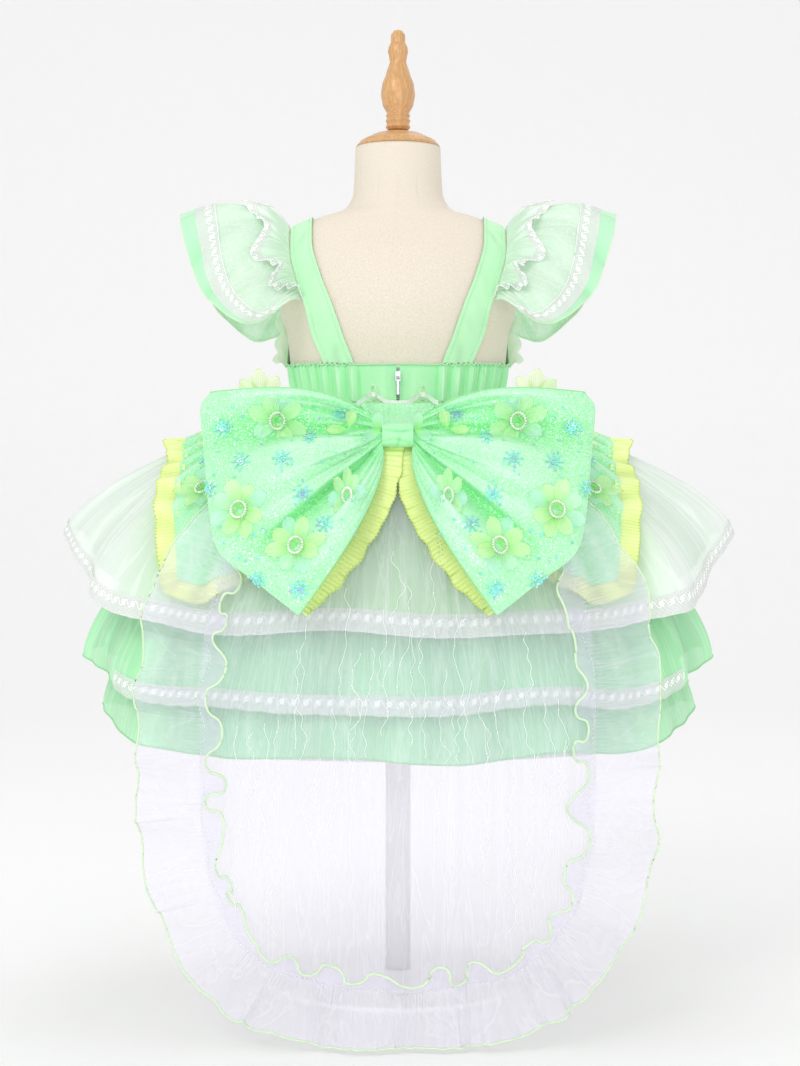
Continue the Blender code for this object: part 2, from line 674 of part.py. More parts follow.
def peplum_surface(angle, share):
    """The peplum's point: it lies on tier A, lifted off it by its own fullness."""
    down = peplum_down(angle, share)
    lift = NEST + 0.0004 + 0.0026 * smoothstep(share * 4) + 0.0030 * share
    return tier_surface(TIER_A, angle, down) + tier_facing(TIER_A, angle, down) * lift[..., None]


def make_peplum():
    """Two overskirt halves, joined at the centre front and open at the back, each with a
    pleated trim on its hem."""
    back, front = math.radians(16), math.pi - 0.0016
    step = TURN / (TIER_A.waves * TIER_STEPS)
    between_ends = np.arange(math.ceil(back / step), int(front / step) + 1) * step
    angle = np.append(between_ends, front)[:, None]
    share = np.linspace(0, 1, 5)[None, :]
    grid = peplum_surface(angle, share)
    pleats = PEPLUM_PLEATS * 2
    angle = back + (front - back) * np.linspace(0.02, 0.995, pleats + 1) ** 1.35
    ends = np.ones(pleats + 1)
    hem = peplum_surface(angle, ends)
    facing = tier_facing(TIER_A, angle, peplum_down(angle, ends))
    away = unit(np.cross(np.gradient(hem, axis=0), facing))
    away = away * (1 if away[-1, 2] < 0 else -1)
    pleat = 0.0011 * np.where(np.arange(pleats + 1) % 2 == 0, 1, -1)
    rows = [hem + away * (PEPLUM_TRIM_WIDTH * place + 0.0008) + facing * (pleat * fullness)[:, None]
            for place, fullness in ((0.02, 0.8), (1.0, 1.5))]
    trim = np.stack(rows, axis=1)
    for side, name in ((-1, "left"), (1, "right")):
        flip = np.array([side, 1, 1])
        wall("peplum_" + name, grid * flip, "Mint glitter tulle")
        wall("peplum_trim_" + name, trim * flip, "Yellow pleated trim", SHEER)


def train_y(x, z):
    """Depth of the hanging train at a place seen from behind."""
    half_width = along(TRAIN_HANG, "z", "half_width", z)
    half_depth = along(TRAIN_HANG, "z", "half_depth", z)
    return -half_depth * np.sqrt(np.clip(1 - (x / half_width) ** 2, 0.02, 1))


def train_hem(x):
    """Height of the train's seam line under its panel at x."""
    drop = (1 - np.clip(np.abs(x) / TRAIN_HALF_WIDTH, 0, 1) ** TRAIN_ROUND) ** (1 / TRAIN_ROUND)
    return TRAIN_SIDE_END - (TRAIN_SIDE_END - TRAIN_SEAM_BOTTOM) * drop


def train_panel_grid():
    """The panel: columns from left to right, rows from the waist to the round hem."""
    across = np.sin(np.linspace(-1, 1, 13) * math.pi / 2)[:, None]
    hem = train_hem(across * TRAIN_HALF_WIDTH)
    down = np.linspace(0, 1, 11)[None, :] ** 1.6
    z = TRAIN_TOP + (hem - TRAIN_TOP) * down
    side_z = TRAIN_TOP + (TRAIN_SIDE_END - TRAIN_TOP) * down
    x = across * along(TRAIN_SIDE, "z", "half_width", side_z)
    return point(x, train_y(x, z), z)


def train_seam(count):
    """The panel's edge from the top left, round the hem, to the top right, evenly spaced, with
    the direction away from the panel."""
    side_z = np.linspace(TRAIN_TOP, TRAIN_SIDE_END, 60)
    side = np.stack([along(TRAIN_SIDE, "z", "half_width", side_z), side_z], axis=1)
    turn = np.linspace(0, math.pi / 2, 80)[1:]
    power = 2 / TRAIN_ROUND
    hem = np.stack([TRAIN_HALF_WIDTH * np.cos(turn) ** power,
                    TRAIN_SIDE_END - (TRAIN_SIDE_END - TRAIN_SEAM_BOTTOM) * np.sin(turn) ** power], axis=1)
    half = np.concatenate([side, hem])
    line = np.concatenate([half * np.array([-1, 1]), half[-2::-1]])
    length = np.concatenate([[0], np.cumsum(np.linalg.norm(np.diff(line, axis=0), axis=1))])
    at = np.linspace(0, length[-1], count)
    x, z = np.interp(at, length, line[:, 0]), np.interp(at, length, line[:, 1])
    near = np.array([at - 0.02, at + 0.02]).clip(0, length[-1])
    run = np.stack([np.diff(np.interp(near, length, line[:, k]), axis=0)[0] for k in range(2)], axis=1)
    run = run / np.linalg.norm(run, axis=1, keepdims=True)
    return x, z, np.stack([run[:, 1], -run[:, 0]], axis=1)


def make_train():
    """The sheer panel, and the gathered ruffle sewn over its edge with a standing heading."""
    wall("train_panel", train_panel_grid(), "Sheer train organza", SHEER)
    columns = RUFFLE_WAVES * 4 + 1
    x, z, away = train_seam(columns)
    share = np.linspace(0, 1, columns)
    upper = smoothstep((z - 0.36) / 0.12)
    fullness = 0.008 * (1 - 0.72 * upper)
    wave = (1 - np.cos(TURN * RUFFLE_WAVES * share)) / 2
    width = RUFFLE_WIDTH - 0.010 * np.clip((0.16 - z) / 0.10, 0, 1) - 0.022 * upper
    rows = []
    for place, lift in ((-RUFFLE_HEADING / RUFFLE_WIDTH, 0.55), (0.0, 0.0), (0.45, 0.7), (1.0, 1.0)):
        row_x = x + away[:, 0] * width * place
        row_z = z + away[:, 1] * width * place
        steep = np.abs(train_y(row_x, row_z + 0.002) - train_y(row_x, row_z - 0.002)) / 0.004
        off = (NEST + 0.0004) * np.sqrt(1 + steep ** 2)
        y = train_y(row_x, row_z) - off - fullness * wave * lift
        rows.append(point(row_x, y, row_z))
    wall("train_ruffle", np.stack(rows, axis=1), "Sheer train organza", SHEER)


def bow_back_y(x, z):
    """Depth of the bow's back at a place seen from behind."""
    return -along(BOW_BACK, "z", "depth", z) * np.sqrt(1 - (x / BOW_SPAN) ** 2)


def wing_surface(turn, share):
    """A point of the right wing. Turn runs from the knot along the back layer (0), round the
    outer fold (a quarter) and back along the front layer (a half turn); share runs from the
    upper edge to the lower."""
    outwards = np.sin(turn) ** 0.85
    knot_x = KNOT_HALF_WIDTH + 0.0012
    knot_z = KNOT_Z + 0.0095 - 0.019 * share
    edge_x = along(WING_EDGE, "share", "x", share)
    edge_z = along(WING_EDGE, "share", "z", share)
    swell = np.sin(math.pi * outwards ** 0.7)
    lower = smoothstep((share - 0.55) / 0.45)
    x = knot_x + (edge_x - knot_x) * outwards - 0.0125 * swell * lower
    rise = 0.018 * (1 - smoothstep(share / 0.5)) - 0.005 * lower
    z = knot_z + (edge_z - knot_z) * outwards + swell * rise
    pinch = 0.24 + 0.76 * smoothstep(outwards / 0.55)
    front = (1 - np.cos(turn)) / 2
    slim = 1 - 0.35 * share
    folds = sum(height * np.exp(-((share - place) / width) ** 2)
                for place, width, height in zip(*WING_FOLDS.values()))
    crease = folds * front * smoothstep(outwards / 0.25) * smoothstep((1 - outwards) / 0.35)
    depth = LOOP_DEPTH * pinch * front * slim + crease
    return point(x, bow_back_y(x, z) - depth, z)


def wing_grid():
    """The right wing: columns round the loop, rows from the upper edge to the lower."""
    turn = np.linspace(0, math.pi, 15)[:, None]
    share = np.linspace(0, 1, 13)[None, :]
    return wing_surface(turn, share)


def bow_trim_grid(train):
    """The right pleated trim: it lies on the train under the wing's lower edge, from the knot
    to the tip."""
    count = TRIM_PLEATS * 2 + 1
    share = np.linspace(0.03, 0.985, count)
    turn = np.arcsin(share ** (1 / 0.85))
    edge = wing_surface(turn, np.ones(count))
    run = np.gradient(edge[:, [0, 2]], axis=0)
    run = run / np.linalg.norm(run, axis=1, keepdims=True)
    away = np.stack([run[:, 1], -run[:, 0]], axis=1)
    width = TRIM_WIDTH * (1 - 0.75 * share ** 4)
    pleat = 0.0011 * np.where(np.arange(count) % 2 == 0, 1, -1)
    rows = []
    for place, fullness in ((-0.30, 0.6), (1.0, 1.1)):
        x = np.maximum(edge[:, 0] + away[:, 0] * width * place, 0.0012)
        z = edge[:, 2] + away[:, 1] * width * place
        y = seen_from_behind(train, x, z) - NEST - 0.0016 + pleat * fullness
        rows.append(point(x, y, z))
    return np.stack(rows, axis=1)


def make_knot():
    """The knot: rings of a rounded block, pleated a little across its front."""
    turns = np.linspace(0, TURN, 20, endpoint=False)
    middle_y = bow_back_y(0.0, KNOT_Z) - KNOT_DEPTH / 2 + 0.001
    rings = []
    for place, size in ((-1.0, 0.80), (-0.75, 0.96), (0.0, 0.90), (0.75, 0.96), (1.0, 0.80)):
        soft = np.abs(np.cos(turns)) ** 0.7 * np.sign(np.cos(turns))
        tall = np.abs(np.sin(turns)) ** 0.7 * np.sign(np.sin(turns))
        pleat = 1 + 0.03 * np.cos(5 * turns)
        rings.append(point(place * KNOT_HALF_WIDTH, middle_y + KNOT_DEPTH / 2 * size * soft * pleat,
                           KNOT_Z + KNOT_HALF_HEIGHT * size * tall * pleat))
    loft("bow_knot", np.stack(rings), "Mint satin")


def flower(name, centre, narrow, place):
    """A flower of petals round a centre. `place` turns (across, up, height over the cloth)
    into points; the petals rise towards their tips."""
    steps = PETALS * 3
    turn = np.linspace(0, TURN, steps, endpoint=False)
    reach = np.tile([0.50, 0.97, 0.97], PETALS)
    petals = np.stack([FLOWER_RADIUS * reach * np.cos(turn) * narrow,
                       FLOWER_RADIUS * reach * np.sin(turn), FLOWER_RISE * reach], axis=1)
    points = place(centre, np.concatenate([np.zeros((1, 3)), petals]))
    faces = [(0, 1 + i, 1 + (i + 1) % steps) for i in range(steps)]
    mesh = bpy.data.meshes.new(name)
    mesh.from_pydata(points.tolist(), [], faces)
    obj = add(name, mesh, "Flower film")
    thicken = obj.modifiers.new("Petals", "SOLIDIFY")
    thicken.thickness = SHEER
    thicken.offset = 0.0


def make_bow():
    """Two wings, knot, two pleated trims, and the flowers on the wings."""
    wing = wing_grid()
    front = wing[wing.shape[0] // 2:]
    trim = bow_trim_grid(train_panel_grid())
    make_knot()
    for side, name in ((-1, "left"), (1, "right")):
        flip = np.array([side, 1, 1])
        wall("bow_loop_" + name, wing * flip, "Mint glitter tulle")
        wall("bow_trim_" + name, trim * flip, "Yellow pleated trim", SHEER)

        def on_wing(centre, local):
            x, z = centre[0] + local[:, 0], centre[1] + local[:, 1]
            y = over_cloth(front, x, z, local[:, 2]) - NEST + 0.0003 - local[:, 2]
            return point(side * x, y, z)

        for i, (x, z, narrow) in enumerate(zip(*WING_FLOWERS.values()), 1):
            flower(f"flower_wing_{name}_{i}", (x, z), narrow, on_wing)

        def behind_wing(centre, local):
            x, z = centre[0] + local[:, 0], centre[1] + local[:, 1]
            y = NEST + local[:, 2] - over_cloth(wing * np.array([1, -1, 1]), x, z, local[:, 2])
            return point(side * x, y, z)

        flower(f"flower_edge_{name}", EDGE_FLOWER, 1.0, behind_wing)


def make_peplum_flowers():
    """Flowers sewn on the peplum beside the bow, each flat on its own place."""
    for side, name in ((-1, "left"), (1, "right")):
        for i, (angle, down) in enumerate(zip(*PEPLUM_FLOWERS.values()), 1):
            turn = math.radians(angle)
            reach = float(along(PEPLUM_HEM, "angle", "reach", angle))
            share = down / reach
            here = peplum_surface(np.array(turn), np.array(share))
            across = unit(peplum_surface(np.array(turn + 0.1), np.array(share)) - here)
            upwards = unit(here - peplum_surface(np.array(turn), np.array(share + 0.1)))
            facing = unit(np.cross(across, upwards))
            facing = facing * (1 if np.dot(facing, here * np.array([1, 1, 0])) > 0 else -1)

            def on_peplum(centre, local):
                placed = (centre + facing * (NEST - 0.0001) + local[:, :1] * across
                          + local[:, 1:2] * upwards + local[:, 2:] * facing * 1.6)
                return placed * np.array([side, 1, 1])

            flower(f"flower_peplum_{name}_{i}", here, 1.0, on_peplum)


def make_ribbon():
    """The ribbon that hangs the bow, and the two thread loops on the band that it runs through."""
    across = np.linspace(-0.037, 0.037, 21)[:, None]
    at_loop = np.exp(-((np.abs(across) - RIBBON_LOOP_X) / 0.009) ** 2)
    outside = smoothstep((np.abs(across) - 0.0255) / 0.0115)
    z = 0.5712 + 0.0090 * at_loop - 0.0045 * outside + np.array([-0.0020, 0.0020])[None, :]
    depth = 0.0919 - (0.0919 + RIBBON_LOOP_Y) * at_loop + 0.058 * outside
    wall("bow_ribbon", point(across, -depth + 0 * z, z), "Pale ribbon", SHEER)
    for side, name in ((-1, "ribbon_loop_left"), (1, "ribbon_loop_right")):
        bpy.ops.mesh.primitive_torus_add(major_segments=14, minor_segments=4, major_radius=0.0040,
                                         minor_radius=0.0006, rotation=(math.pi / 2, 0, 0))
        loop = bpy.context.active_object
        bpy.context.view_layer.update()
        loop.data.transform(loop.matrix_world)
        loop.matrix_world = (Matrix.Translation((side * RIBBON_LOOP_X, RIBBON_LOOP_Y, 0.5822))
                             @ Matrix.Rotation(side * math.radians(45), 4, "Z")
                             @ Matrix.Diagonal((1, 1, 1.7, 1)))
        settle(loop, name, "Pale ribbon")


clear_scene()
for group in ("Lolita dress", "Tools"):
    bpy.context.scene.collection.children.link(bpy.data.collections.new(group))
make_form()
make_bodice()
make_straps_and_sleeves()
make_side_frills()
make_zip()
make_skirts()
make_peplum()
make_train()
make_bow()
make_peplum_flowers()
make_ribbon()
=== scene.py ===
"""Looks of the lolita dress on its dress form.

Everything is in metres, +Z up, in the frame of the solids. The back of the dress faces -Y.
Angles round the body start at the centre back and grow towards +X. Each cloth is a thin shell
on the form of its solid, worked out again from the same sizes, with its finer folds.
"""
from collections import namedtuple
import math
from math import pi

import bpy
import numpy as np
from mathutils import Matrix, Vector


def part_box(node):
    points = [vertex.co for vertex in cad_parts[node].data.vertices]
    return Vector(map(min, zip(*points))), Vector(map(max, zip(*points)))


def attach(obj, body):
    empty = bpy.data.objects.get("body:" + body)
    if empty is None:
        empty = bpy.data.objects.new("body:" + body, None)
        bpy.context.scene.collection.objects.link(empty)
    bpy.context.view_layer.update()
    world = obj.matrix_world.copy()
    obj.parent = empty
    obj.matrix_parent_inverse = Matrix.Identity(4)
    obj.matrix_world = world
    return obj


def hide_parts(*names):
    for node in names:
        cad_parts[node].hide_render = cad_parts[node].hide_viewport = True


bl_info = {
    "name": "Lolita dress",
    "version": (1, 0, 0),
    "blender": (4, 5, 0),
    "location": "3D View > Sidebar > Lolita dress",
    "description": "Builds the cloth, trims, flowers and dress form of a lolita dress",
    "category": "Add Mesh",
}

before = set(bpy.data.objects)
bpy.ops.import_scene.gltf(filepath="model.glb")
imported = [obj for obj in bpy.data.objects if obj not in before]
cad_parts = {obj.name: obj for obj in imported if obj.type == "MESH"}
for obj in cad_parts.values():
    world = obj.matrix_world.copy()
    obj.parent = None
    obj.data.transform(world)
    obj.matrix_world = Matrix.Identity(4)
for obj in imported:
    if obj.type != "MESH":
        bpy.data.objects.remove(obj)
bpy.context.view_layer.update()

TURN = 2 * pi
BEHIND = np.array([0, -1.0, 0])   # towards the camera, square to the back
WHITE = (1.0, 1.0, 1.0, 1.0)

# Dress form and stand, from the solids where they are plain
POLE_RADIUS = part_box("form_pole")[1].x
POLE_BOTTOM, POLE_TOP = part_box("form_pole")[0].z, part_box("form_pole")[1].z
WAIST = 0.576
BAND_TOP_SIDE = 0.615
BAND_TOP_BACK = 0.609
FRONT_TOP = 0.694
BAND_WAVES = 8
BAND_FLAT = 0.035
BAND_FULLNESS = 0.0028
ZIP_HALF_WIDTH = 0.0032
CLOTH = 0.0014            # the solids' wall; the shells here lie on its middle
SEAM = 0.0005
NEST = CLOTH + SEAM
SEEN_PAPER = 0.83         # brightness of what shows past the edge of the studio's paper

# Skirts
UNDER_TOP = WAIST - 0.0014
UNDER_HEM = 0.2440
UNDER_HALF_WIDTH = 0.262
UNDER_HALF_DEPTH = 0.200
UNDER_FLARE = 2.0
HEM_CORNER = 8

# Train
TRAIN_TOP = 0.561
TRAIN_SIDE_END = 0.260
TRAIN_HALF_WIDTH = 0.172
TRAIN_SEAM_BOTTOM = 0.054
TRAIN_ROUND = 3.2
RUFFLE_WAVES = 22
RUFFLE_WIDTH = 0.062
RUFFLE_HEADING = 0.012

# Bow
KNOT_Z = 0.5365
KNOT_HALF_WIDTH = 0.0140
KNOT_HALF_HEIGHT = 0.0115
KNOT_DEPTH = 0.0250
LOOP_DEPTH = 0.046
BOW_SPAN = 0.400
RIBBON_LOOP_X = 0.0235
RIBBON_LOOP_Y = -0.0834
TRIM_PLEATS = 28
TRIM_WIDTH = 0.0165
PLEAT_PITCH = 0.0040
PEPLUM_TRIM_WIDTH = 0.019

# The wing's grid: where its front layer starts and its back layer ends
WING_COLUMNS, WING_ROWS = 140, 120
WING_FRONT, WING_BACK = 76, 63
WING_ROUND = 0.85         # how fully the loop opens: 1 is an ellipse

# Sleeves, sequins, petals and beads
SLEEVE_WAVES = 5
FRILL_WAVES = 6
SEQUIN_RADIUS = 0.00138
SEQUIN_HEIGHT = 0.0004
FLOWER_PETALS = 8
PETAL_START, PETAL_LENGTH, PETAL_WIDTH = 0.0026, 0.0236, 0.0166
PETAL_LIFT = 0.0048       # loose petals stand this far off the bow
BEAD_RADIUS = 0.00122
BEAD_RING = (0.0066, 0.0074)   # half its width and half its height

# Threads' radii, ribbon and zip
EDGE_THREAD = 0.0007
HEM_THREAD = 0.0008
FINE_THREAD = 0.0006
TRIM_THREAD = 0.0005
RUFFLE_THREAD = 0.0009
HEADING_THREAD = 0.0011
LOOSE_THREAD = 0.00016
LOOSE_THREADS = 35
RIBBON_Z = 0.5712
RIBBON_HALF_LENGTH = 0.037
RIBBON_HALF_HEIGHT = 0.0022
TEETH_PITCH = 0.0014

# Camera: the photograph's own frame
CAMERA_DISTANCE = 1.83
CAMERA_HEIGHT = 0.448
CAMERA_LENS = 61.8

# Studio: half its width, and where its paper starts to curve up, how widely, and its top
STUDIO_HALF_WIDTH = 8.0
BACKDROP_START, BACKDROP_CURVE, BACKDROP_TOP = 3.0, 0.9, 4.0


def table(names, rows):
    """A short table as one array for each named column."""
    return {name: np.array(column, float) for name, column in zip(names.split(), zip(*rows))}


FORM_RINGS = table("z half_width half_depth", [
    (0.400, 0.118, 0.098), (0.430, 0.119, 0.099), (0.480, 0.112, 0.092), (0.550, 0.095, 0.077),
    (0.583, 0.100, 0.080), (0.615, 0.107, 0.083), (0.647, 0.1105, 0.0865), (0.665, 0.1165, 0.0860),
    (0.705, 0.1175, 0.0770), (0.725, 0.1165, 0.0680), (0.742, 0.1130, 0.0580), (0.752, 0.1020, 0.0530),
    (0.758, 0.0900, 0.0500), (0.763, 0.0750, 0.0490), (0.767, 0.0600, 0.0480), (0.773, 0.0510, 0.0460),
    (0.788, 0.0445, 0.0435), (0.832, 0.0425, 0.0400)])

# Turned pieces: radius against height
CAP_PROFILE = [
    (0.0000, 0.8500), (0.0120, 0.8490), (0.0260, 0.8450), (0.0380, 0.8385), (0.0420, 0.8335),
    (0.0415, 0.8323), (0.0000, 0.8323)]
FINIAL_PROFILE = [
    (0.0000, 0.9510), (0.0045, 0.9498), (0.0072, 0.9455), (0.0072, 0.9385), (0.0095, 0.9335),
    (0.0102, 0.9290), (0.0090, 0.9240), (0.0082, 0.9190), (0.0120, 0.9070), (0.0160, 0.8960),
    (0.0172, 0.8860), (0.0155, 0.8760), (0.0110, 0.8670), (0.0122, 0.8650), (0.0110, 0.8625),
    (0.0124, 0.8600), (0.0112, 0.8570), (0.0124, 0.8535), (0.0100, 0.8504), (0.0000, 0.8504)]
BASE_PROFILE = [
    (0.0000, 0.0140), (0.0200, 0.0140), (0.0300, 0.0115), (0.1220, 0.0085), (0.1290, 0.0060),
    (0.1300, 0.0030), (0.1285, 0.0000), (0.0000, 0.0000)]

STRAP_BACK = table("rise middle half_width", [
    (0.00, 0.0570, 0.0148), (0.17, 0.0680, 0.0150), (0.35, 0.0760, 0.0134), (0.57, 0.0870, 0.0118),
    (0.80, 0.0945, 0.0108), (1.00, 0.0950, 0.0105)])
STRAP_FRONT = table("rise middle half_width", [
    (0.00, 0.0700, 0.0125), (0.50, 0.0850, 0.0110), (1.00, 0.0950, 0.0105)])
SLEEVE_EDGE = table("share x y z", [
    (0.00, 0.116, -0.084, 0.657), (0.12, 0.147, -0.086, 0.649), (0.25, 0.180, -0.066, 0.671),
    (0.38, 0.203, -0.048, 0.712), (0.45, 0.213, -0.028, 0.751), (0.50, 0.219, 0.000, 0.771)])

Tier = namedtuple("Tier", "name top side_hem back_hem half_width half_depth flare wave waves")
TIER_A = Tier("tier_a", 0.5735, 0.448, 0.360, 0.324, 0.232, 1.7, 0.0060, 13)
TIER_B = Tier("tier_b", 0.4750, 0.333, 0.290, 0.305, 0.226, 1.7, 0.0048, 13)
TIER_C = Tier("tier_c", 0.4150, 0.276, 0.247, 0.290, 0.221, 1.4, 0.0038, 13)

PEPLUM_HEM = table("angle reach", [
    (16, 0.10), (20, 0.45), (24, 0.68), (28, 0.77), (34, 0.82), (39, 0.81), (42, 0.73),
    (45, 0.65), (50, 0.55), (60, 0.42), (75, 0.335), (90, 0.31), (130, 0.36), (180, 0.42)])
TRAIN_HANG = table("z half_width half_depth", [
    (0.000, 0.345, 0.2520), (0.300, 0.345, 0.2490), (0.360, 0.345, 0.2460), (0.420, 0.336, 0.2405),
    (0.450, 0.326, 0.2260), (0.500, 0.280, 0.1840), (0.530, 0.240, 0.1545), (0.561, 0.210, 0.1010)])
TRAIN_SIDE = table("z half_width", [
    (0.260, 0.172), (0.300, 0.172), (0.360, 0.168), (0.410, 0.155), (0.455, 0.134),
    (0.505, 0.100), (0.561, 0.045)])
BOW_BACK = table("z depth", [
    (0.370, 0.2540), (0.420, 0.2465), (0.450, 0.2320), (0.500, 0.1905), (0.536, 0.1590),
    (0.580, 0.1400)])
WING_EDGE = table("share x z", [
    (0.00, 0.172, 0.577), (0.12, 0.181, 0.562), (0.35, 0.172, 0.500), (0.58, 0.158, 0.436),
    (0.80, 0.120, 0.404), (1.00, 0.085, 0.377)])
WING_FOLDS = table("share width height", [
    (0.06, 0.07, 0.006), (0.22, 0.09, -0.010), (0.44, 0.10, 0.010), (0.70, 0.08, -0.016),
    (0.88, 0.08, 0.006)])
WING_CREASES = table("near middle far width step start end", [
    (0.42, 0.30, 0.40, 0.055, 0.0060, 0.00, 0.95), (0.67, 0.665, 0.71, 0.065, -0.0085, 0.00, 0.90),
    (0.16, 0.12, 0.12, 0.030, 0.0030, 0.00, 0.60), (0.26, 0.20, 0.22, 0.025, -0.0024, 0.00, 0.45),
    (0.52, 0.46, 0.50, 0.028, -0.0026, 0.00, 0.62), (0.59, 0.56, 0.62, 0.024, 0.0026, 0.05, 0.75),
    (0.83, 0.83, 0.88, 0.035, 0.0042, 0.04, 0.80), (0.94, 0.93, 0.95, 0.022, -0.0022, 0.00, 0.55)])
LOOSE_PETALS = table("x z turn", [
    (0.043, 0.551, 1.8), (0.055, 0.540, -0.2), (0.024, 0.539, -0.4), (0.0175, 0.549, 1.6)])

WING_FLOWERS = table("x z narrow", [
    (0.108, 0.549, 1.0), (0.137, 0.467, 1.0), (0.086, 0.436, 0.95), (0.0440, 0.478, 0.60)])
PEPLUM_FLOWERS = table("angle down", [(68, 0.22), (47, 0.44)])
EDGE_FLOWER = (0.127, 0.566)
# Snowflakes of sequins on the right wing, and on the peplum by angle and share of tier A
WING_SNOWFLAKES = table("x z size", [
    (0.158, 0.543, 1.0), (0.139, 0.511, 1.0), (0.102, 0.5135, 1.0), (0.083, 0.482, 1.0),
    (0.168, 0.487, 0.9), (0.052, 0.556, 0.9), (0.121, 0.407, 1.0), (0.084, 0.400, 1.0),
    (0.063, 0.456, 0.9), (0.079, 0.534, 0.7)])
PEPLUM_SNOWFLAKES = table("angle down", [
    (57, 0.32), (82, 0.16), (97, 0.20), (118, 0.24), (140, 0.2), (158, 0.30)])


def along(rows, key, column, at):
    """A column's value where the key column is `at`, on a cubic through the rows that never
    overshoots them."""
    x, y = rows[key], rows[column]
    slope = np.diff(y) / np.diff(x)
    same = slope[:-1] * slope[1:] > 0
    harmonic = 2 * slope[:-1] * slope[1:] / np.where(same, slope[:-1] + slope[1:], 1)
    tangent = np.concatenate([slope[:1], np.where(same, harmonic, 0), slope[-1:]])
    at = np.clip(at, x[0], x[-1])
    i = np.clip(np.searchsorted(x, at) - 1, 0, len(x) - 2)
    step = x[i + 1] - x[i]
    t = (at - x[i]) / step
    return (y[i] * (1 + 2 * t) * (1 - t) ** 2 + y[i + 1] * t * t * (3 - 2 * t)
            + step * tangent[i] * t * (1 - t) ** 2 - step * tangent[i + 1] * t * t * (1 - t))


def rows_of(rows):
    """The rows of a table, one by one."""
    return zip(*rows.values())


def point(x, y, z):
    """Coordinates joined into points, broadcast against each other."""
    return np.stack(np.broadcast_arrays(x, y, z), axis=-1).astype(float)


def columns_at(*span, **kind):
    """Evenly spaced values that differ from column to column of a grid."""
    return np.linspace(*span, **kind)[:, None]


def rows_at(*span):
    """Evenly spaced values that differ from row to row of a grid."""
    return np.linspace(*span)[None, :]


def length_along(line):
    """Distance along a line of points, from 0 at its first."""
    return np.concatenate([[0], np.cumsum(np.linalg.norm(np.diff(line, axis=0), axis=1))])


def on_line(line, length, at):
    """The points, or other rows of three, at distances along a line."""
    return np.stack([np.interp(at, length, line[:, k]) for k in range(3)], axis=-1)


def smoothstep(t):
    """0 below 0, 1 above 1 and an S-curve between."""
    t = np.clip(t, 0, 1)
    return t * t * (3 - 2 * t)


def bell(at):
    """A bell curve: the exponential of minus the square, so 1 at 0."""
    return np.exp(-at ** 2)


def unit(vectors):
    """Vectors scaled to length 1."""
    return vectors / np.maximum(np.linalg.norm(vectors, axis=-1, keepdims=True), 1e-9)


def from_axis(grid):
    """The horizontal direction from the body's axis to each point."""
    return grid * np.array([1.0, 1.0, 0.0])


def normals(grid, closed, towards):
    """Unit normals of a grid, on the side that faces the direction field `towards`."""
    if closed:
        along_columns = np.roll(grid, -1, axis=0) - np.roll(grid, 1, axis=0)
    else:
        along_columns = np.gradient(grid, axis=0)
    across = np.cross(along_columns, np.gradient(grid, axis=1))
    facing = np.sum(across * towards, axis=-1, keepdims=True)
    return unit(across * np.where(facing < 0, -1, 1))


def between(grid, rows):
    """Points of a grid at fractional row numbers, which may differ from column to column, on the
    straight lines between its rows."""
    rows = np.broadcast_to(np.asarray(rows, float), (grid.shape[0], np.shape(rows)[-1]))
    low = np.clip(rows.astype(int), 0, grid.shape[1] - 2)
    share = (rows - low)[..., None]
    column = np.arange(grid.shape[0])[:, None]
    return grid[column, low] * (1 - share) + grid[column, low + 1] * share


def relief(grid, closed, facing):
    """Two measures of a cloth's folds against its own smoothed form, a running mean both ways:
    how far a point stands out, from 0 in the deepest folds to 1 on the highest, and how far the
    cloth is turned from it, from 0 to 1 on the flanks of sharp folds."""
    smooth = grid
    for axis, share in ((0, 24), (1, 9)):
        count = grid.shape[axis]
        reach = max(count // share, 1)
        pad = [(0, 0)] * 3
        pad[axis] = (reach, reach)
        if closed and axis == 0:
            padded = np.pad(smooth, pad, mode="wrap")
        else:
            padded = np.pad(smooth, pad, mode="reflect", reflect_type="odd")
        shifted = [np.take(padded, np.arange(count) + k, axis=axis) for k in range(2 * reach + 1)]
        smooth = np.mean(shifted, axis=0)
    height = np.sum((grid - smooth) * facing, axis=-1)
    height = (height - height.mean()) / (0.0008 + 1.8 * height.std())
    turned = 1 - np.abs(np.sum(normals(smooth, closed, facing) * facing, axis=-1))
    return 0.5 + 0.5 * np.tanh(height), np.clip(turned * 4, 0, 1)


def uneven(at, slow, fast, seed):
    """Folds that differ in depth and spacing: a sum of cosines of `at`, which runs over one turn,
    with whole wave counts from slow to fast and seeded phases. Most of it is between -1 and 1."""
    draw = np.random.default_rng(seed)
    counts = draw.choice(np.arange(slow, fast + 1), size=min(7, fast - slow + 1), replace=False)
    phases = draw.uniform(0, TURN, len(counts))
    waves = np.cos(np.asarray(at)[..., None] * counts + phases)
    return waves.sum(-1) / (0.75 * len(counts) ** 0.5 * 1.6)


def mirrored():
    """The two sides: a word for the name, and the factor that turns the right one into it."""
    return (("left", np.array([-1.0, 1, 1])), ("right", np.array([1.0, 1, 1])))


# Meshes


def grid_faces(columns, rows, closed, flip):
    """The corners of each square of a grid, as indices."""
    start = np.arange(columns if closed else columns - 1)
    following = (start + 1) % columns
    row = np.arange(rows - 1)
    a, b = start[:, None] * rows + row, following[:, None] * rows + row
    corners = np.stack([a, b, b + 1, a + 1], axis=-1).reshape(-1, 4)
    return corners[:, ::-1] if flip else corners


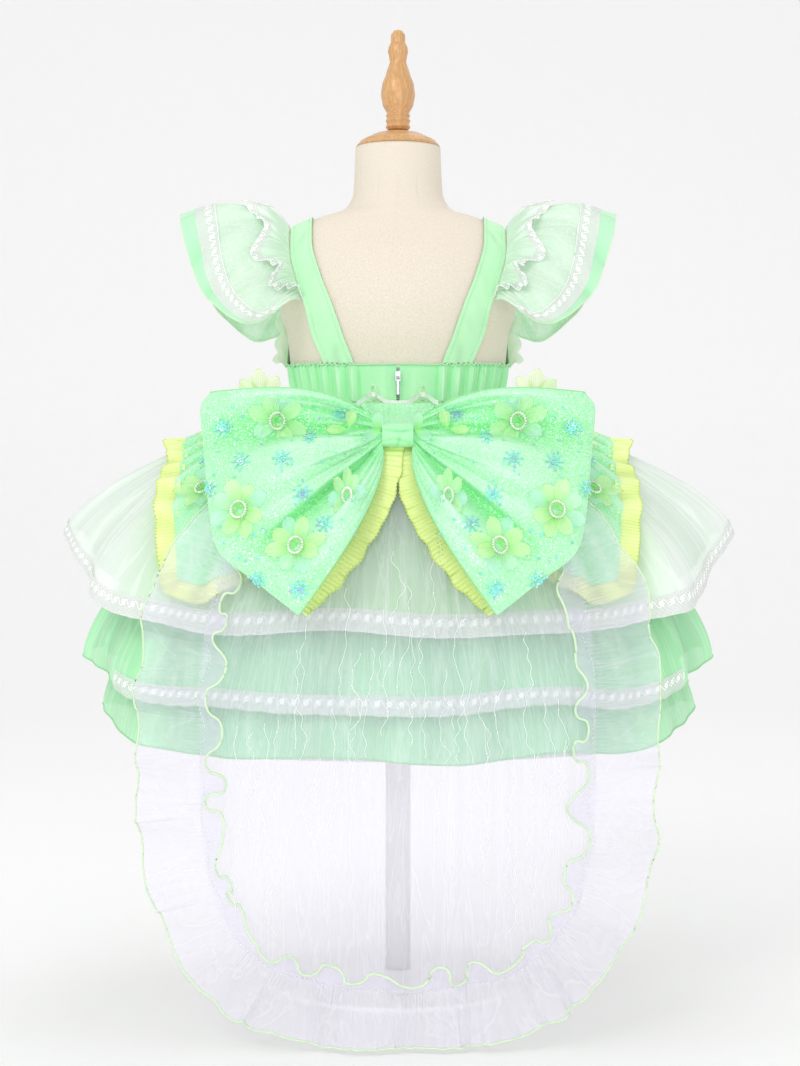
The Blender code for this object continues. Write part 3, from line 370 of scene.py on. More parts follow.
def mesh_of(name, vertices, faces, uv=None, folds=None):
    """A mesh from arrays of vertices and of faces with equal corner counts; uv is per corner, and
    folds are the two measures of relief, per vertex."""
    mesh = bpy.data.meshes.new(name)
    count, corners = faces.shape
    mesh.vertices.add(len(vertices))
    mesh.vertices.foreach_set("co", np.asarray(vertices, np.float32).ravel())
    mesh.loops.add(count * corners)
    mesh.loops.foreach_set("vertex_index", faces.astype(np.int32).ravel())
    mesh.polygons.add(count)
    mesh.polygons.foreach_set("loop_start", np.arange(0, count * corners, corners, dtype=np.int32))
    mesh.update(calc_edges=True)
    if uv is not None:
        layer = mesh.uv_layers.new(name="Cloth")
        layer.uv.foreach_set("vector", np.asarray(uv, np.float32).ravel())
    for label, values in zip(("Fold", "Flank"), folds or ()):
        values = values.astype(np.float32).ravel()
        mesh.attributes.new(label, "FLOAT", "POINT").data.foreach_set("value", values)
    mesh.shade_smooth()
    return mesh


def show(name, mesh, material, replaces=(), body="dress"):
    """A mesh as a piece of the dress: its finish, its body and the solids that it stands for."""
    obj = bpy.data.objects.new(name, mesh)
    mesh.materials.append(material)
    bpy.context.scene.collection.objects.link(obj)
    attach(obj, body)
    if replaces:
        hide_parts(*replaces)
    return obj


def lengths(grid, closed):
    """Distance along the columns' direction and down the rows, in metres, measured on the widest
    row and as a mean over the columns. They are the cloth's own coordinates."""
    ring = np.concatenate([grid, grid[:1]]) if closed else grid
    steps = np.linalg.norm(np.diff(ring, axis=0), axis=-1)
    widest = steps[:, np.argmax(steps.sum(axis=0))]
    down = np.linalg.norm(np.diff(grid, axis=1), axis=-1).mean(axis=0)
    return np.concatenate([[0], np.cumsum(widest)]), np.concatenate([[0], np.cumsum(down)])


def surface(name, grid, closed, outwards, towards):
    """A mesh of a grid (columns, rows) whose faces look along `outwards`, with a UV map in metres
    of cloth and its relief. It comes with its faces and its two lengths."""
    columns, rows = grid.shape[:2]
    across, down = lengths(grid, closed)
    diagonal = np.cross(grid[1:, 1:] - grid[:-1, :-1], grid[:-1, 1:] - grid[1:, :-1])
    flip = np.sum(diagonal * outwards) < 0
    faces = grid_faces(columns, rows, closed, flip)
    u = np.arange(columns if closed else columns - 1)[:, None, None] + np.array([0, 1, 1, 0])
    u = np.broadcast_to(u, (len(u), rows - 1, 4))
    v = np.broadcast_to(np.arange(rows - 1)[None, :, None] + np.array([0, 0, 1, 1]), u.shape)
    uv = np.stack([across[u], down[v]], axis=-1).reshape(-1, 4, 2)
    folds = relief(grid, closed, normals(grid, closed, towards))
    mesh = mesh_of(name, grid.reshape(-1, 3), faces, uv[:, ::-1] if flip else uv, folds)
    return mesh, faces, across, down


def cloth(name, grid, material, replaces=(), closed=False, towards=None):
    """A sheet of cloth: a grid of points (columns, rows) as an open surface that faces outwards.
    It is declared with the size that it is cut to and with what is sewn to it, unless it is too
    narrow for that."""
    towards = from_axis(grid) if towards is None else towards
    outwards = towards[1:, 1:] if np.ndim(towards) == 3 else towards
    mesh, faces, across, down = surface(name, grid, closed, outwards, towards)
    obj = show(name, mesh, material, replaces)
    return obj


def thread_rings(path, radius, sides, closed):
    """A round thread along a path: its points, as rings square to the path, and its faces."""
    if closed:
        run = unit(np.roll(path, -1, axis=0) - np.roll(path, 1, axis=0))
    else:
        run = unit(np.gradient(path, axis=0))
    guide = np.where(np.abs(run[:, 2:]) > 0.9, np.array([1.0, 0, 0]), np.array([0, 0, 1.0]))
    across = unit(np.cross(run, guide))
    other = np.cross(run, across)
    turn = np.linspace(0, TURN, sides, endpoint=False)[None, :, None]
    rings = path[:, None] + radius * (np.cos(turn) * across[:, None] + np.sin(turn) * other[:, None])
    faces = grid_faces(sides, len(path), True, False)
    if closed:
        last = np.arange(sides) * len(path) + len(path) - 1
        first = np.arange(sides) * len(path)
        joint = np.stack([last, np.roll(last, -1), np.roll(first, -1), first], axis=1)
        faces = np.concatenate([faces, joint])
    return rings.transpose(1, 0, 2).reshape(-1, 3), faces


def stamp(name, shape, centres, facing, material, sizes=1.0, heading=None, replaces=()):
    """One mesh of many copies of a small shape (vertices, faces). Each copy's +Z runs along its
    facing vector and its +X as near as can be to its heading."""
    vertices, faces = shape
    facing = unit(np.broadcast_to(facing, centres.shape))
    guide = np.broadcast_to([0.0, 0.3, 1.0] if heading is None else heading, centres.shape)
    across = unit(np.cross(facing, np.cross(guide, facing)))
    other = np.cross(facing, across)
    sized = vertices[None] * np.broadcast_to(np.asarray(sizes, float), centres.shape[:1])[:, None, None]
    placed = (centres[:, None] + sized[..., :1] * across[:, None] + sized[..., 1:2] * other[:, None]
        + sized[..., 2:] * facing[:, None])
    all_faces = faces[None] + np.arange(len(centres))[:, None, None] * len(vertices)
    mesh = mesh_of(name, placed.reshape(-1, 3), all_faces.reshape(-1, faces.shape[1]))
    return show(name, mesh, material, replaces)


def ball(radius, rings=5, sides=8):
    """A small ball: rings of quads between two tiny end rings."""
    angle = rows_at(0.05, pi - 0.05, rings)
    turn = columns_at(0, TURN, sides, endpoint=False)
    vertices = point(np.sin(angle) * np.cos(turn), np.sin(angle) * np.sin(turn), np.cos(angle)) * radius
    return vertices.reshape(-1, 3), grid_faces(sides, rings, True, True)


def dish(radius, height, sides=8):
    """A round sequin: a rim, a raised ring and a small middle, as quads."""
    turn = columns_at(0, TURN, sides, endpoint=False)
    reach = np.array([1.0, 0.55, 0.08])[None, :]
    lift = np.array([0.0, 1.0, 0.75])[None, :]
    vertices = point(reach * np.cos(turn) * radius, reach * np.sin(turn) * radius, lift * height)
    return vertices.reshape(-1, 3), grid_faces(sides, 3, True, False)


def sequins(name, centres, facing):
    """Sequins on the net at these places."""
    return stamp(name, dish(SEQUIN_RADIUS, SEQUIN_HEIGHT), centres, facing, finish("Sequins"))


def tube(name, paths, radius, material, sides=6, closed=False, replaces=()):
    """Round threads along one path of points, or along each of a list of paths, as one mesh."""
    vertices, faces, count = [], [], 0
    for path in (paths if isinstance(paths, list) else [paths]):
        points, quads = thread_rings(path, radius, sides, closed)
        vertices.append(points)
        faces.append(quads + count)
        count += len(points)
    return show(name, mesh_of(name, np.concatenate(vertices), np.concatenate(faces)), material,
        replaces)


def lay_on(grid, facing, x, z):
    """Where places seen from behind fall on a grid: the points on it, its normals there and the
    squared distance to the nearest grid point, whose tangent plane is used."""
    flat, faces = grid.reshape(-1, 3), facing.reshape(-1, 3)
    off = (flat[None, :, 0] - x[:, None]) ** 2 + (flat[None, :, 2] - z[:, None]) ** 2
    near = np.argmin(off, axis=1)
    base, normal = flat[near], faces[near]
    lean = np.where(np.abs(normal[:, 1]) < 0.25, -0.25, normal[:, 1])
    y = base[:, 1] - (normal[:, 0] * (x - base[:, 0]) + normal[:, 2] * (z - base[:, 2])) / lean
    return point(x, y, z), normal, off.min(axis=1)


# Shader groups


class Nodes:
    """Places and joins the nodes of one tree."""

    def __init__(self, tree):
        self.tree = tree

    def add(self, kind, inputs=None, **settings):
        """A node with its settings; an input is a value, or a socket that is joined to it."""
        node = self.tree.nodes.new(kind)
        for name, value in settings.items():
            setattr(node, name, value)
        for key, value in (inputs or {}).items():
            if isinstance(value, bpy.types.NodeSocket):
                self.tree.links.new(value, node.inputs[key])
            else:
                node.inputs[key].default_value = value
        return node

    def use(self, effect, **inputs):
        """The outputs of a shared effect that is given these inputs."""
        return self.add("ShaderNodeGroup", inputs, node_tree=effect()).outputs

    def feed(self, shader, label, value):
        """Join a value to one of the shader's sockets."""
        self.tree.links.new(value, shader.inputs[label])

    def at_point(self):
        """Where a point is, in metres."""
        return self.add("ShaderNodeTexCoord").outputs["Object"]

    def on_cloth(self):
        """Where a point is on its UV map."""
        return self.add("ShaderNodeUVMap").outputs[0]

    def noise(self, at, scale, detail, distortion=0.0):
        """Cloudy noise between 0 and 1."""
        return self.add("ShaderNodeTexNoise", {"Vector": at, "Scale": scale, "Detail": detail,
            "Distortion": distortion}).outputs[0]

    def maths(self, operation, *values):
        """The result of a Math node."""
        return self.add("ShaderNodeMath", dict(enumerate(values)), operation=operation).outputs[0]

    def times(self, first, second):
        """A product."""
        return self.maths("MULTIPLY", first, second)

    def plus(self, first, second):
        """A sum."""
        return self.maths("ADD", first, second)

    def minus(self, first, second):
        """A difference."""
        return self.maths("SUBTRACT", first, second)

    def mix(self, share, first, second):
        """A colour between two."""
        return self.add("ShaderNodeMix", {0: share, 6: first, 7: second}, data_type="RGBA").outputs[2]

    def step(self, value, low, high):
        """0 below low and 1 above high, softly between."""
        ends = {0: value, 1: low, 2: high}
        return self.add("ShaderNodeMapRange", ends, interpolation_type="SMOOTHSTEP").outputs[0]


def group(name, **inputs):
    """Makes a function that builds nodes into a shared effect: a shader node group with these
    inputs and their defaults, made once, and an output for each value that the function gives."""
    def wrapped(build):
        def effect():
            found = bpy.data.node_groups.get(name)
            if found:
                return found
            tree = bpy.data.node_groups.new(name, "ShaderNodeTree")
            for label, default in inputs.items():
                socket = tree.interface.new_socket(name=label, in_out="INPUT",
                    socket_type="NodeSocketFloat")
                socket.default_value = default
            nodes = Nodes(tree)
            results = build(nodes, nodes.add("NodeGroupInput").outputs)
            for label in results:
                tree.interface.new_socket(name=label, in_out="OUTPUT", socket_type="NodeSocketFloat")
            nodes.add("NodeGroupOutput", results)
            return tree
        return effect
    return wrapped


@group("Cloth weave", Threads=900.0, Slub=0.6)
def cloth_weave(nodes, given):
    """Plain weave: threads both ways over the UV map, in metres. Height is the thread on top."""
    uv = nodes.add("ShaderNodeSeparateXYZ", {0: nodes.on_cloth()}).outputs
    threads = [nodes.times(uv[axis], given["Threads"]) for axis in (0, 1)]
    waves = [nodes.maths("SINE", nodes.times(thread, TURN)) for thread in threads]
    slub = nodes.noise(nodes.on_cloth(), 420.0, 2.0)
    return {"Height": nodes.plus(nodes.times(nodes.times(*waves), 0.5), nodes.times(slub, given["Slub"]))}


@group("Cloth creases", Scale=60.0, Down=0.15)
def cloth_creases(nodes, given):
    """Soft creases: noise over the UV map, drawn out down the cloth, and finer noise on it."""
    squeeze = nodes.add("ShaderNodeCombineXYZ", {0: 1.0, 1: given["Down"], 2: 1.0}).outputs[0]
    drawn = nodes.add("ShaderNodeVectorMath", {0: nodes.on_cloth(), 1: squeeze}, operation="MULTIPLY")
    noise = nodes.noise(drawn.outputs[0], given["Scale"], 3.0, 0.6)
    slope = nodes.maths("ABSOLUTE", nodes.times(nodes.minus(noise, 0.5), 4.0))
    return {"Height": noise, "Ridge": nodes.maths("MAXIMUM", nodes.minus(1.0, slope), 0.0)}


@group("Glitter", Cells=470.0, Share=0.25)
def glitter_specks(nodes, given):
    """Glitter: some of the cells of a fine random pattern, each a round speck."""
    cells = nodes.add("ShaderNodeTexVoronoi", {"Vector": nodes.at_point(), "Scale": given["Cells"]})
    draw = nodes.add("ShaderNodeSeparateColor", {0: cells.outputs["Color"]}).outputs
    chosen = nodes.maths("LESS_THAN", draw[0], given["Share"])
    speck = nodes.minus(1.0, nodes.step(cells.outputs["Distance"], 0.26, 0.44))
    return {"Speck": nodes.times(chosen, speck), "Draw": draw[1]}


@group("Lace", Cells=900.0, Repeat=0.011, Middle=0.008, Flower=0.0034)
def lace_pattern(nodes, given):
    """Lace along a band: a fine net, small six-petalled flowers with an eye, and a waved stem
    that runs through them, over the UV map in metres."""
    at = nodes.on_cloth()
    uv = nodes.add("ShaderNodeSeparateXYZ", {0: at}).outputs
    cells = nodes.add("ShaderNodeTexVoronoi", {"Vector": at, "Scale": given["Cells"], "Randomness": 0.3},
        feature="DISTANCE_TO_EDGE")
    net = nodes.minus(1.0, nodes.step(cells.outputs[0], 0.06, 0.20))
    turns = nodes.maths("DIVIDE", uv[0], given["Repeat"])
    x = nodes.times(nodes.minus(nodes.maths("FRACT", turns), 0.5), given["Repeat"])
    y = nodes.minus(uv[1], given["Middle"])
    reach = nodes.maths("SQRT", nodes.maths("MULTIPLY_ADD", x, x, nodes.times(y, y)))
    lobes = nodes.maths("COSINE", nodes.times(nodes.maths("ARCTAN2", y, x), 6.0))
    edge = nodes.times(given["Flower"], nodes.maths("MULTIPLY_ADD", lobes, 0.18, 0.82))
    flower = nodes.maths("LESS_THAN", reach, edge)
    eye = nodes.maths("LESS_THAN", reach, nodes.times(given["Flower"], 0.3))
    swing = nodes.times(nodes.maths("SINE", nodes.times(turns, TURN)), given["Flower"])
    stem = nodes.maths("LESS_THAN", nodes.maths("ABSOLUTE", nodes.minus(y, swing)), 0.0005)
    solid = nodes.maths("MAXIMUM", nodes.minus(flower, eye), stem)
    return {"Thread": nodes.maths("MAXIMUM", solid, nodes.times(net, 0.7)), "Flower": solid}


@group("Wood grain", Rings=46.0)
def wood_grain(nodes, given):
    """Wood grain: rings round the Z axis, pulled along it and disturbed by noise."""
    pulled = {"Vector": nodes.at_point(), "Scale": (1.0, 1.0, 0.12)}
    drawn = nodes.add("ShaderNodeMapping", pulled).outputs[0]
    rings = nodes.maths("SINE", nodes.times(nodes.noise(drawn, 95.0, 4.0), given["Rings"]))
    return {"Ring": nodes.step(rings, -0.8, 0.9), "Fibre": nodes.noise(drawn, 900.0, 2.0)}


# Finishes


def linear(red, green, blue):
    """A colour given in 0 to 255 as the shader's own values."""
    values = np.array([red, green, blue]) / 255
    low = values / 12.92
    high = ((values + 0.055) / 1.055) ** 2.4
    return (*np.where(values <= 0.04045, low, high).tolist(), 1.0)


def shaded(colour, factor):
    """A colour made darker or lighter."""
    return (*[min(value * factor, 1.0) for value in colour[:3]], 1.0)


def blank(name, **sockets):
    """A new material and its tree, with plain values set on its Principled shader."""
    made = bpy.data.materials.new(name)
    made.use_nodes = True
    nodes = Nodes(made.node_tree)
    shader = made.node_tree.nodes["Principled BSDF"]
    for label, value in sockets.items():
        shader.inputs[label.replace("_", " ")].default_value = value
    return made, nodes, shader


def bump(nodes, shader, height, strength, distance, under=None):
    """Raise a height on the shader's normal, over another bump if one is given."""
    inputs = {"Height": height, "Strength": strength, "Distance": distance}
    if under is not None:
        inputs["Normal"] = under
    raised = nodes.add("ShaderNodeBump", inputs).outputs[0]
    nodes.feed(shader, "Normal", raised)
    return raised


def fabric(name, colour, deep, light=None, roughness=0.7, sheen=0.25, threads=900.0, slub=0.6, crease=60.0,
        crease_down=0.15, crease_depth=0.0012, glitter=0.0, see_through=0.0, folded=0.35, crinkle=0.0,
        open_weave_shade=0.0, inner=None, painted_glow=0.0):
    """Cloth: a weave, soft creases, and a colour that is deep in its folds and light on them. It
    may have glitter, be sheer, denser where its folds turn away, have fine crinkled lines, show
    an inner colour towards the middle of the back, where more layers lie under it, and give a
    little of the light that shines through thin cloth."""
    made, nodes, shader = blank(name, Roughness=roughness, Sheen_Weight=sheen, Sheen_Roughness=0.5,
        Emission_Strength=painted_glow)
    light = light or shaded(colour, 1.06)
    weave = nodes.use(cloth_weave, Threads=threads, Slub=slub)["Height"]
    creases = nodes.use(cloth_creases, Scale=crease, Down=crease_down)
    fold, flank = (nodes.add("ShaderNodeAttribute", attribute_name=label).outputs["Fac"]
        for label in ("Fold", "Flank"))
    # Painted shade and highlight: from the fold relief and the creases, the colour darkens in the folds and
    # lightens on their tops.
    tone = nodes.maths("MULTIPLY_ADD", fold, 0.7, nodes.times(creases["Height"], 0.3))
    tint = nodes.mix(nodes.step(tone, 0.10, 0.52), deep, colour)
    tint = nodes.mix(nodes.step(tone, 0.50, 0.90), tint, light)
    under = bump(nodes, shader, creases["Height"], 0.7, crease_depth)
    under = bump(nodes, shader, weave, 0.35, 0.00012 + 0.0004 * open_weave_shade, under)
    at = nodes.at_point()
    if inner:
        place = nodes.add("ShaderNodeSeparateXYZ", {0: at}).outputs
        forward = nodes.maths("MAXIMUM", nodes.plus(place[1], 0.10), 0.0)
        from_middle = nodes.plus(nodes.maths("ABSOLUTE", place[0]), forward)
        tint = nodes.mix(nodes.step(from_middle, 0.16, 0.27), inner, tint)
    # Painted shade in the gaps between the threads of an open weave, which also deepens its bump.
    if open_weave_shade:
        tint = nodes.mix(nodes.times(nodes.step(weave, 1.0, 0.3), open_weave_shade), tint, shaded(colour, 0.78))
    cover = nodes.maths("MULTIPLY_ADD", flank, folded, 1.0 - see_through)
    # Painted highlight: white lines along the crease ridges, where the cloth is also made denser.
    if crinkle:
        lines = nodes.times(nodes.step(creases["Ridge"], 0.80, 0.98), crinkle)
        tint = nodes.mix(lines, tint, WHITE)
        cover = nodes.maths("MULTIPLY_ADD", lines, 0.4, cover)
    if glitter:
        # Random mottle of the net in the same two colours, not tied to its folds.
        grain = nodes.noise(at, 640.0, 2.0)
        tint = nodes.mix(nodes.times(nodes.step(grain, 0.47, 0.66), 0.7), tint, light)
        tint = nodes.mix(nodes.times(nodes.step(grain, 0.50, 0.32), 0.35), tint, deep)
        bump(nodes, shader, grain, 0.6, 0.0006, under)
        specks = nodes.use(glitter_specks, Share=glitter)
        tint = nodes.mix(specks["Speck"], tint, nodes.mix(specks["Draw"], shaded(colour, 1.6), WHITE))
        nodes.feed(shader, "Metallic", nodes.times(specks["Speck"], 0.20))
        rough = nodes.maths("MULTIPLY_ADD", specks["Speck"], 0.18 - roughness, roughness)
        nodes.feed(shader, "Roughness", rough)
        cover = nodes.maths("MAXIMUM", cover, specks["Speck"])
    if see_through:
        nodes.feed(shader, "Alpha", nodes.maths("MINIMUM", cover, 1.0))
    nodes.feed(shader, "Base Color", tint)
    # Painted glow: the cloth's own colour as emission, light of its own that stands in for what shines
    # through thin cloth.
    if painted_glow:
        nodes.feed(shader, "Emission Color", tint)
    return made


def lace(name, colour, repeat, middle, flower, cells):
    """Lace: open between its threads, with denser raised flowers."""
    # The lace glows a little: painted light that keeps it white under sheer cloth.
    made, nodes, shader = blank(name, Roughness=0.8, Sheen_Weight=0.2, Emission_Strength=0.09)
    pattern = nodes.use(lace_pattern, Cells=cells, Repeat=repeat, Middle=middle, Flower=flower)
    nodes.feed(shader, "Base Color", nodes.mix(pattern["Flower"], shaded(colour, 0.84), colour))
    nodes.feed(shader, "Alpha", nodes.step(pattern["Thread"], -0.5, 0.8))
    bump(nodes, shader, pattern["Thread"], 0.5, 0.0003)
    return made


def wood(name, colour, deep):
    """Varnished turned wood with grain along its height."""
    made, nodes, shader = blank(name, Roughness=0.38, Coat_Weight=0.35, Coat_Roughness=0.15)
    grain = nodes.use(wood_grain)
    tint = nodes.mix(nodes.times(grain["Ring"], 0.6), colour, deep)
    fibres = nodes.times(nodes.step(grain["Fibre"], 0.45, 0.8), 0.4)
    nodes.feed(shader, "Base Color", nodes.mix(fibres, tint, shaded(deep, 0.8)))
    bump(nodes, shader, grain["Fibre"], 0.25, 0.0002)
    return made


def enamel(name, colour):
    """Sprayed enamel with a fine orange peel."""
    made, nodes, shader = blank(name, Roughness=0.34, Coat_Weight=0.2)
    at = nodes.at_point()
    dust = nodes.noise(at, 18.0, 5.0)
    nodes.feed(shader, "Base Color", nodes.mix(nodes.step(dust, 0.4, 0.75), colour, shaded(colour, 0.93)))
    bump(nodes, shader, nodes.noise(at, 420.0, 2.0), 0.15, 0.0002)
    return made


def metal(name, colour):
    """Nickel plate with fine rub marks."""
    made, nodes, shader = blank(name, Metallic=1.0, Roughness=0.25)
    rub = nodes.noise(nodes.at_point(), 2600.0, 3.0)
    nodes.feed(shader, "Base Color", nodes.mix(nodes.step(rub, 0.35, 0.7), colour, shaded(colour, 0.75)))
    nodes.feed(shader, "Roughness", nodes.plus(0.16, nodes.times(rub, 0.25)))
    return made


def petal_film(name, heart, tip, other, cover=0.55):
    """Translucent petals: one colour at the heart and another at the tips, which differs from
    petal to petal, with veins. The UV map runs from heart to tip in V, and U counts petals."""
    made, nodes, shader = blank(name, Roughness=0.28, Coat_Weight=0.3)
    uv = nodes.add("ShaderNodeSeparateXYZ", {0: nodes.on_cloth()}).outputs
    draw = nodes.add("ShaderNodeTexWhiteNoise", {"W": nodes.maths("FLOOR", uv[0])},
        noise_dimensions="1D").outputs["Value"]
    vein = nodes.step(nodes.maths("SINE", nodes.times(uv[0], 60.0)), 0.2, 0.95)
    tips = nodes.mix(nodes.step(draw, 0.55, 0.95), tip, other)
    tint = nodes.mix(nodes.step(uv[1], 0.05, 0.65), heart, tips)
    nodes.feed(shader, "Base Color", nodes.mix(nodes.times(vein, 0.15), tint, shaded(tip, 1.2)))
    nodes.feed(shader, "Alpha", nodes.maths("MULTIPLY_ADD", vein, 0.12, cover))
    bump(nodes, shader, vein, 0.3, 0.0002)
    return made


def bright(name, colour, roughness, metallic, others=()):
    """Beads and sequins: glossy, each a little different in tone, and some in other colours."""
    made, nodes, shader = blank(name, Roughness=roughness, Metallic=metallic, Coat_Weight=0.5)
    cells = nodes.add("ShaderNodeTexVoronoi", {"Vector": nodes.at_point(), "Scale": 330.0})
    draw = nodes.add("ShaderNodeSeparateColor", {0: cells.outputs["Color"]}).outputs
    tint = nodes.mix(draw[0], shaded(colour, 0.82), shaded(colour, 1.25))
    for number, other in enumerate(others):
        chosen = nodes.maths("COMPARE", draw[1], 0.94 - 0.12 * number, 0.04)
        tint = nodes.mix(chosen, tint, other)
    nodes.feed(shader, "Base Color", tint)
    return made


def thread(name, colour, glow=0.0):
    """Sewing thread with its twist, and a glow for thin bright ones that catch the light."""
    made, nodes, shader = blank(name, Roughness=0.6, Sheen_Weight=0.3, Emission_Strength=glow)
    twist = nodes.noise(nodes.at_point(), 1500.0, 1.0)
    nodes.feed(shader, "Base Color", nodes.mix(nodes.step(twist, 0.3, 0.7), shaded(colour, 0.88), colour))
    bump(nodes, shader, twist, 0.5, 0.0002)
    return made


def finish(name):
    """The named finish, made at its first use from the settings' colours."""
    found = bpy.data.materials.get(name)
    if found:
        return found
    settings = bpy.context.scene.dress_settings
    satin, net, net_fold_shade, organza, train, yellow, pale, sleeve, linen, turned, sequins = (
        tuple(getattr(settings, label)) for label in (
            "satin", "glitter_net", "glitter_fold_shade", "organza", "train", "pleated_trim", "pale_organza",
            "sleeve_organza", "linen", "wood", "sequins"))
    glitter, sheer = settings.glitter, settings.train_sheerness
    # In each fabric the second colour is painted shade deep in its folds and the third a painted highlight
    # on their tops.
    made = {
        "Linen": lambda: fabric(
            name, linen, shaded(linen, 0.965), shaded(linen, 1.01), roughness=0.92, sheen=0.1,
            threads=430.0, slub=1.6, crease=260.0, crease_down=1.0, crease_depth=0.0002, open_weave_shade=0.55),
        "Turned wood": lambda: wood(name, turned, shaded(turned, 0.74)),
        "White enamel": lambda: enamel(name, linear(250, 250, 249)),
        "Mint satin": lambda: fabric(
            name, satin, shaded(satin, 0.86), sheen=0.35, threads=1100.0, slub=0.4, crease=70.0,
            crease_down=0.3, crease_depth=0.0010),
        "Shirred satin": lambda: fabric(
            name, linear(178, 246, 188), linear(128, 232, 140), linear(218, 255, 218), sheen=0.35,
            threads=1100.0, crease=120.0, crease_down=0.12),
        "Knot satin": lambda: fabric(
            name, linear(178, 246, 190), linear(124, 226, 146), linear(212, 254, 216), sheen=0.35,
            threads=1100.0, slub=0.4, crease=90.0, crease_down=0.6),
        "Glitter net": lambda: fabric(
            name, net, net_fold_shade, linear(206, 254, 220), roughness=0.55, slub=0.8, crease=34.0,
            crease_down=0.35, crease_depth=0.0016, glitter=glitter),
        "Sleeve organza": lambda: fabric(
            name, sleeve, shaded(sleeve, 0.90), shaded(sleeve, 1.08), roughness=0.6, crease=50.0,
            crease_down=0.3, crease_depth=0.0006, glitter=glitter * 0.25, see_through=0.26, crinkle=0.12),
        "Sleeve border": lambda: fabric(
            name, linear(190, 248, 203), linear(170, 240, 186), roughness=0.6, crease=70.0,
            crease_down=0.3, see_through=0.12),
        "Frill organza": lambda: fabric(
            name, shaded(sleeve, 1.02), shaded(sleeve, 0.90), linear(240, 250, 241), roughness=0.6,
            crease=90.0, crease_depth=0.0006, see_through=0.35, crinkle=0.2),
        "Mint organza": lambda: fabric(
            name, organza, shaded(organza, 0.86), shaded(organza, 1.10), roughness=0.6,
            crease_down=0.10, crease_depth=0.0008, see_through=0.14, crinkle=0.15),
        "Pale organza": lambda: fabric(
            name, pale, shaded(pale, 0.90), linear(244, 251, 245), roughness=0.6, crease_down=0.10,
            crease_depth=0.0008, see_through=0.18, crinkle=0.2, inner=linear(190, 240, 176)),
        "White cotton": lambda: fabric(
            name, linear(250, 251, 249), linear(232, 236, 232), roughness=0.85, sheen=0.1, threads=700.0,
            crease=30.0, crease_down=0.3),
        "Train organza": lambda: fabric(
            name, train, shaded(train, 0.97), shaded(train, 1.04), roughness=0.65, threads=750.0,
            crease=90.0, crease_down=0.12, crease_depth=0.0003, see_through=sheer, folded=0.03,
            crinkle=0.12, painted_glow=0.04),
        "Ruffle organza": lambda: fabric(
            name, train, shaded(train, 0.90), shaded(train, 1.06), roughness=0.32, threads=750.0,
            crease=26.0, crease_down=0.6, crease_depth=0.0022, see_through=sheer, folded=0.14,
            crinkle=0.10, painted_glow=0.04),
        "Pleated trim": lambda: fabric(
            name, yellow, shaded(yellow, 0.72), linear(247, 254, 192), roughness=0.65, crease=120.0,
            crease_down=0.2, crease_depth=0.0003, painted_glow=0.04),
        "Pale ribbon": lambda: fabric(
            name, linear(249, 255, 249), linear(238, 253, 240), roughness=0.35, threads=1300.0, slub=0.1,
            crease=40.0, crease_down=1.0, crease_depth=0.0003),
        "Zip tape": lambda: fabric(
            name, satin, shaded(satin, 0.85), roughness=0.8, threads=1500.0, slub=0.2, crease=40.0,
            crease_down=1.0, crease_depth=0.0001),
        "Hem lace": lambda: lace(name, linear(252, 254, 252), 0.0110, 0.0070, 0.0030, 900.0),
        "Sleeve lace": lambda: lace(name, linear(250, 254, 250), 0.0100, 0.0066, 0.0028, 950.0),
        "Zip metal": lambda: metal(name, (0.55, 0.56, 0.58, 1.0)),
        "Green petals": lambda: petal_film(
            name, linear(158, 246, 122), linear(214, 252, 178), linear(188, 244, 226)),
        "Lime petals": lambda: petal_film(
            name, linear(200, 248, 140), linear(234, 252, 186), linear(206, 250, 150)),
        "Blue petals": lambda: petal_film(
            name, linear(160, 246, 140), linear(204, 250, 188), linear(188, 242, 232)),
        "Side petals": lambda: petal_film(
            name, linear(228, 250, 222), linear(244, 254, 236), linear(238, 252, 230), 0.85),
        "Sequins": lambda: bright(name, sequins, 0.35, 0.0, [linear(176, 190, 242), linear(214, 248, 242)]),
        "Pearl beads": lambda: bright(name, linear(240, 242, 240), 0.3, 0.1),
        "White thread": lambda: thread(name, linear(252, 253, 252)),
        "Train thread": lambda: thread(name, linear(255, 255, 255), 0.12),
        "Green thread": lambda: thread(name, linear(166, 232, 166)),
        "Pale thread": lambda: thread(name, linear(226, 250, 212)),
        "Lime thread": lambda: thread(name, linear(220, 240, 130)),
        "Mint thread": lambda: thread(name, shaded(satin, 0.96)),
    }
    return made[name]()


# Dress form


def form_skin(angle, z, out=0.0):
    """A point `out` from the form's skin: an ellipse at each height, whose half-axes run through
    the form's rings."""
    half_width = along(FORM_RINGS, "z", "half_width", z) + out
    half_depth = along(FORM_RINGS, "z", "half_depth", z) + out
    return point(half_width * np.sin(angle), -half_depth * np.cos(angle), z)


def form_seams(angle, z):
    """How near a point is to a seam of the form's cover, 0 to 1: centre back, centre front, the
    sides, and a curved seam between each two. Each is a bell curve across its line."""
    folded = np.abs((angle + pi) % TURN - pi) + 0 * z
    sway = 0.10 * np.sin((z - 0.40) * 11)
    near = [bell((folded - math.radians(line) - bend * sway) / 0.010)
            for line, bend in ((0, 0), (90, 0), (180, 0), (31, 1), (147, 1))]
    return np.max(near, axis=0) * (z < 0.80)


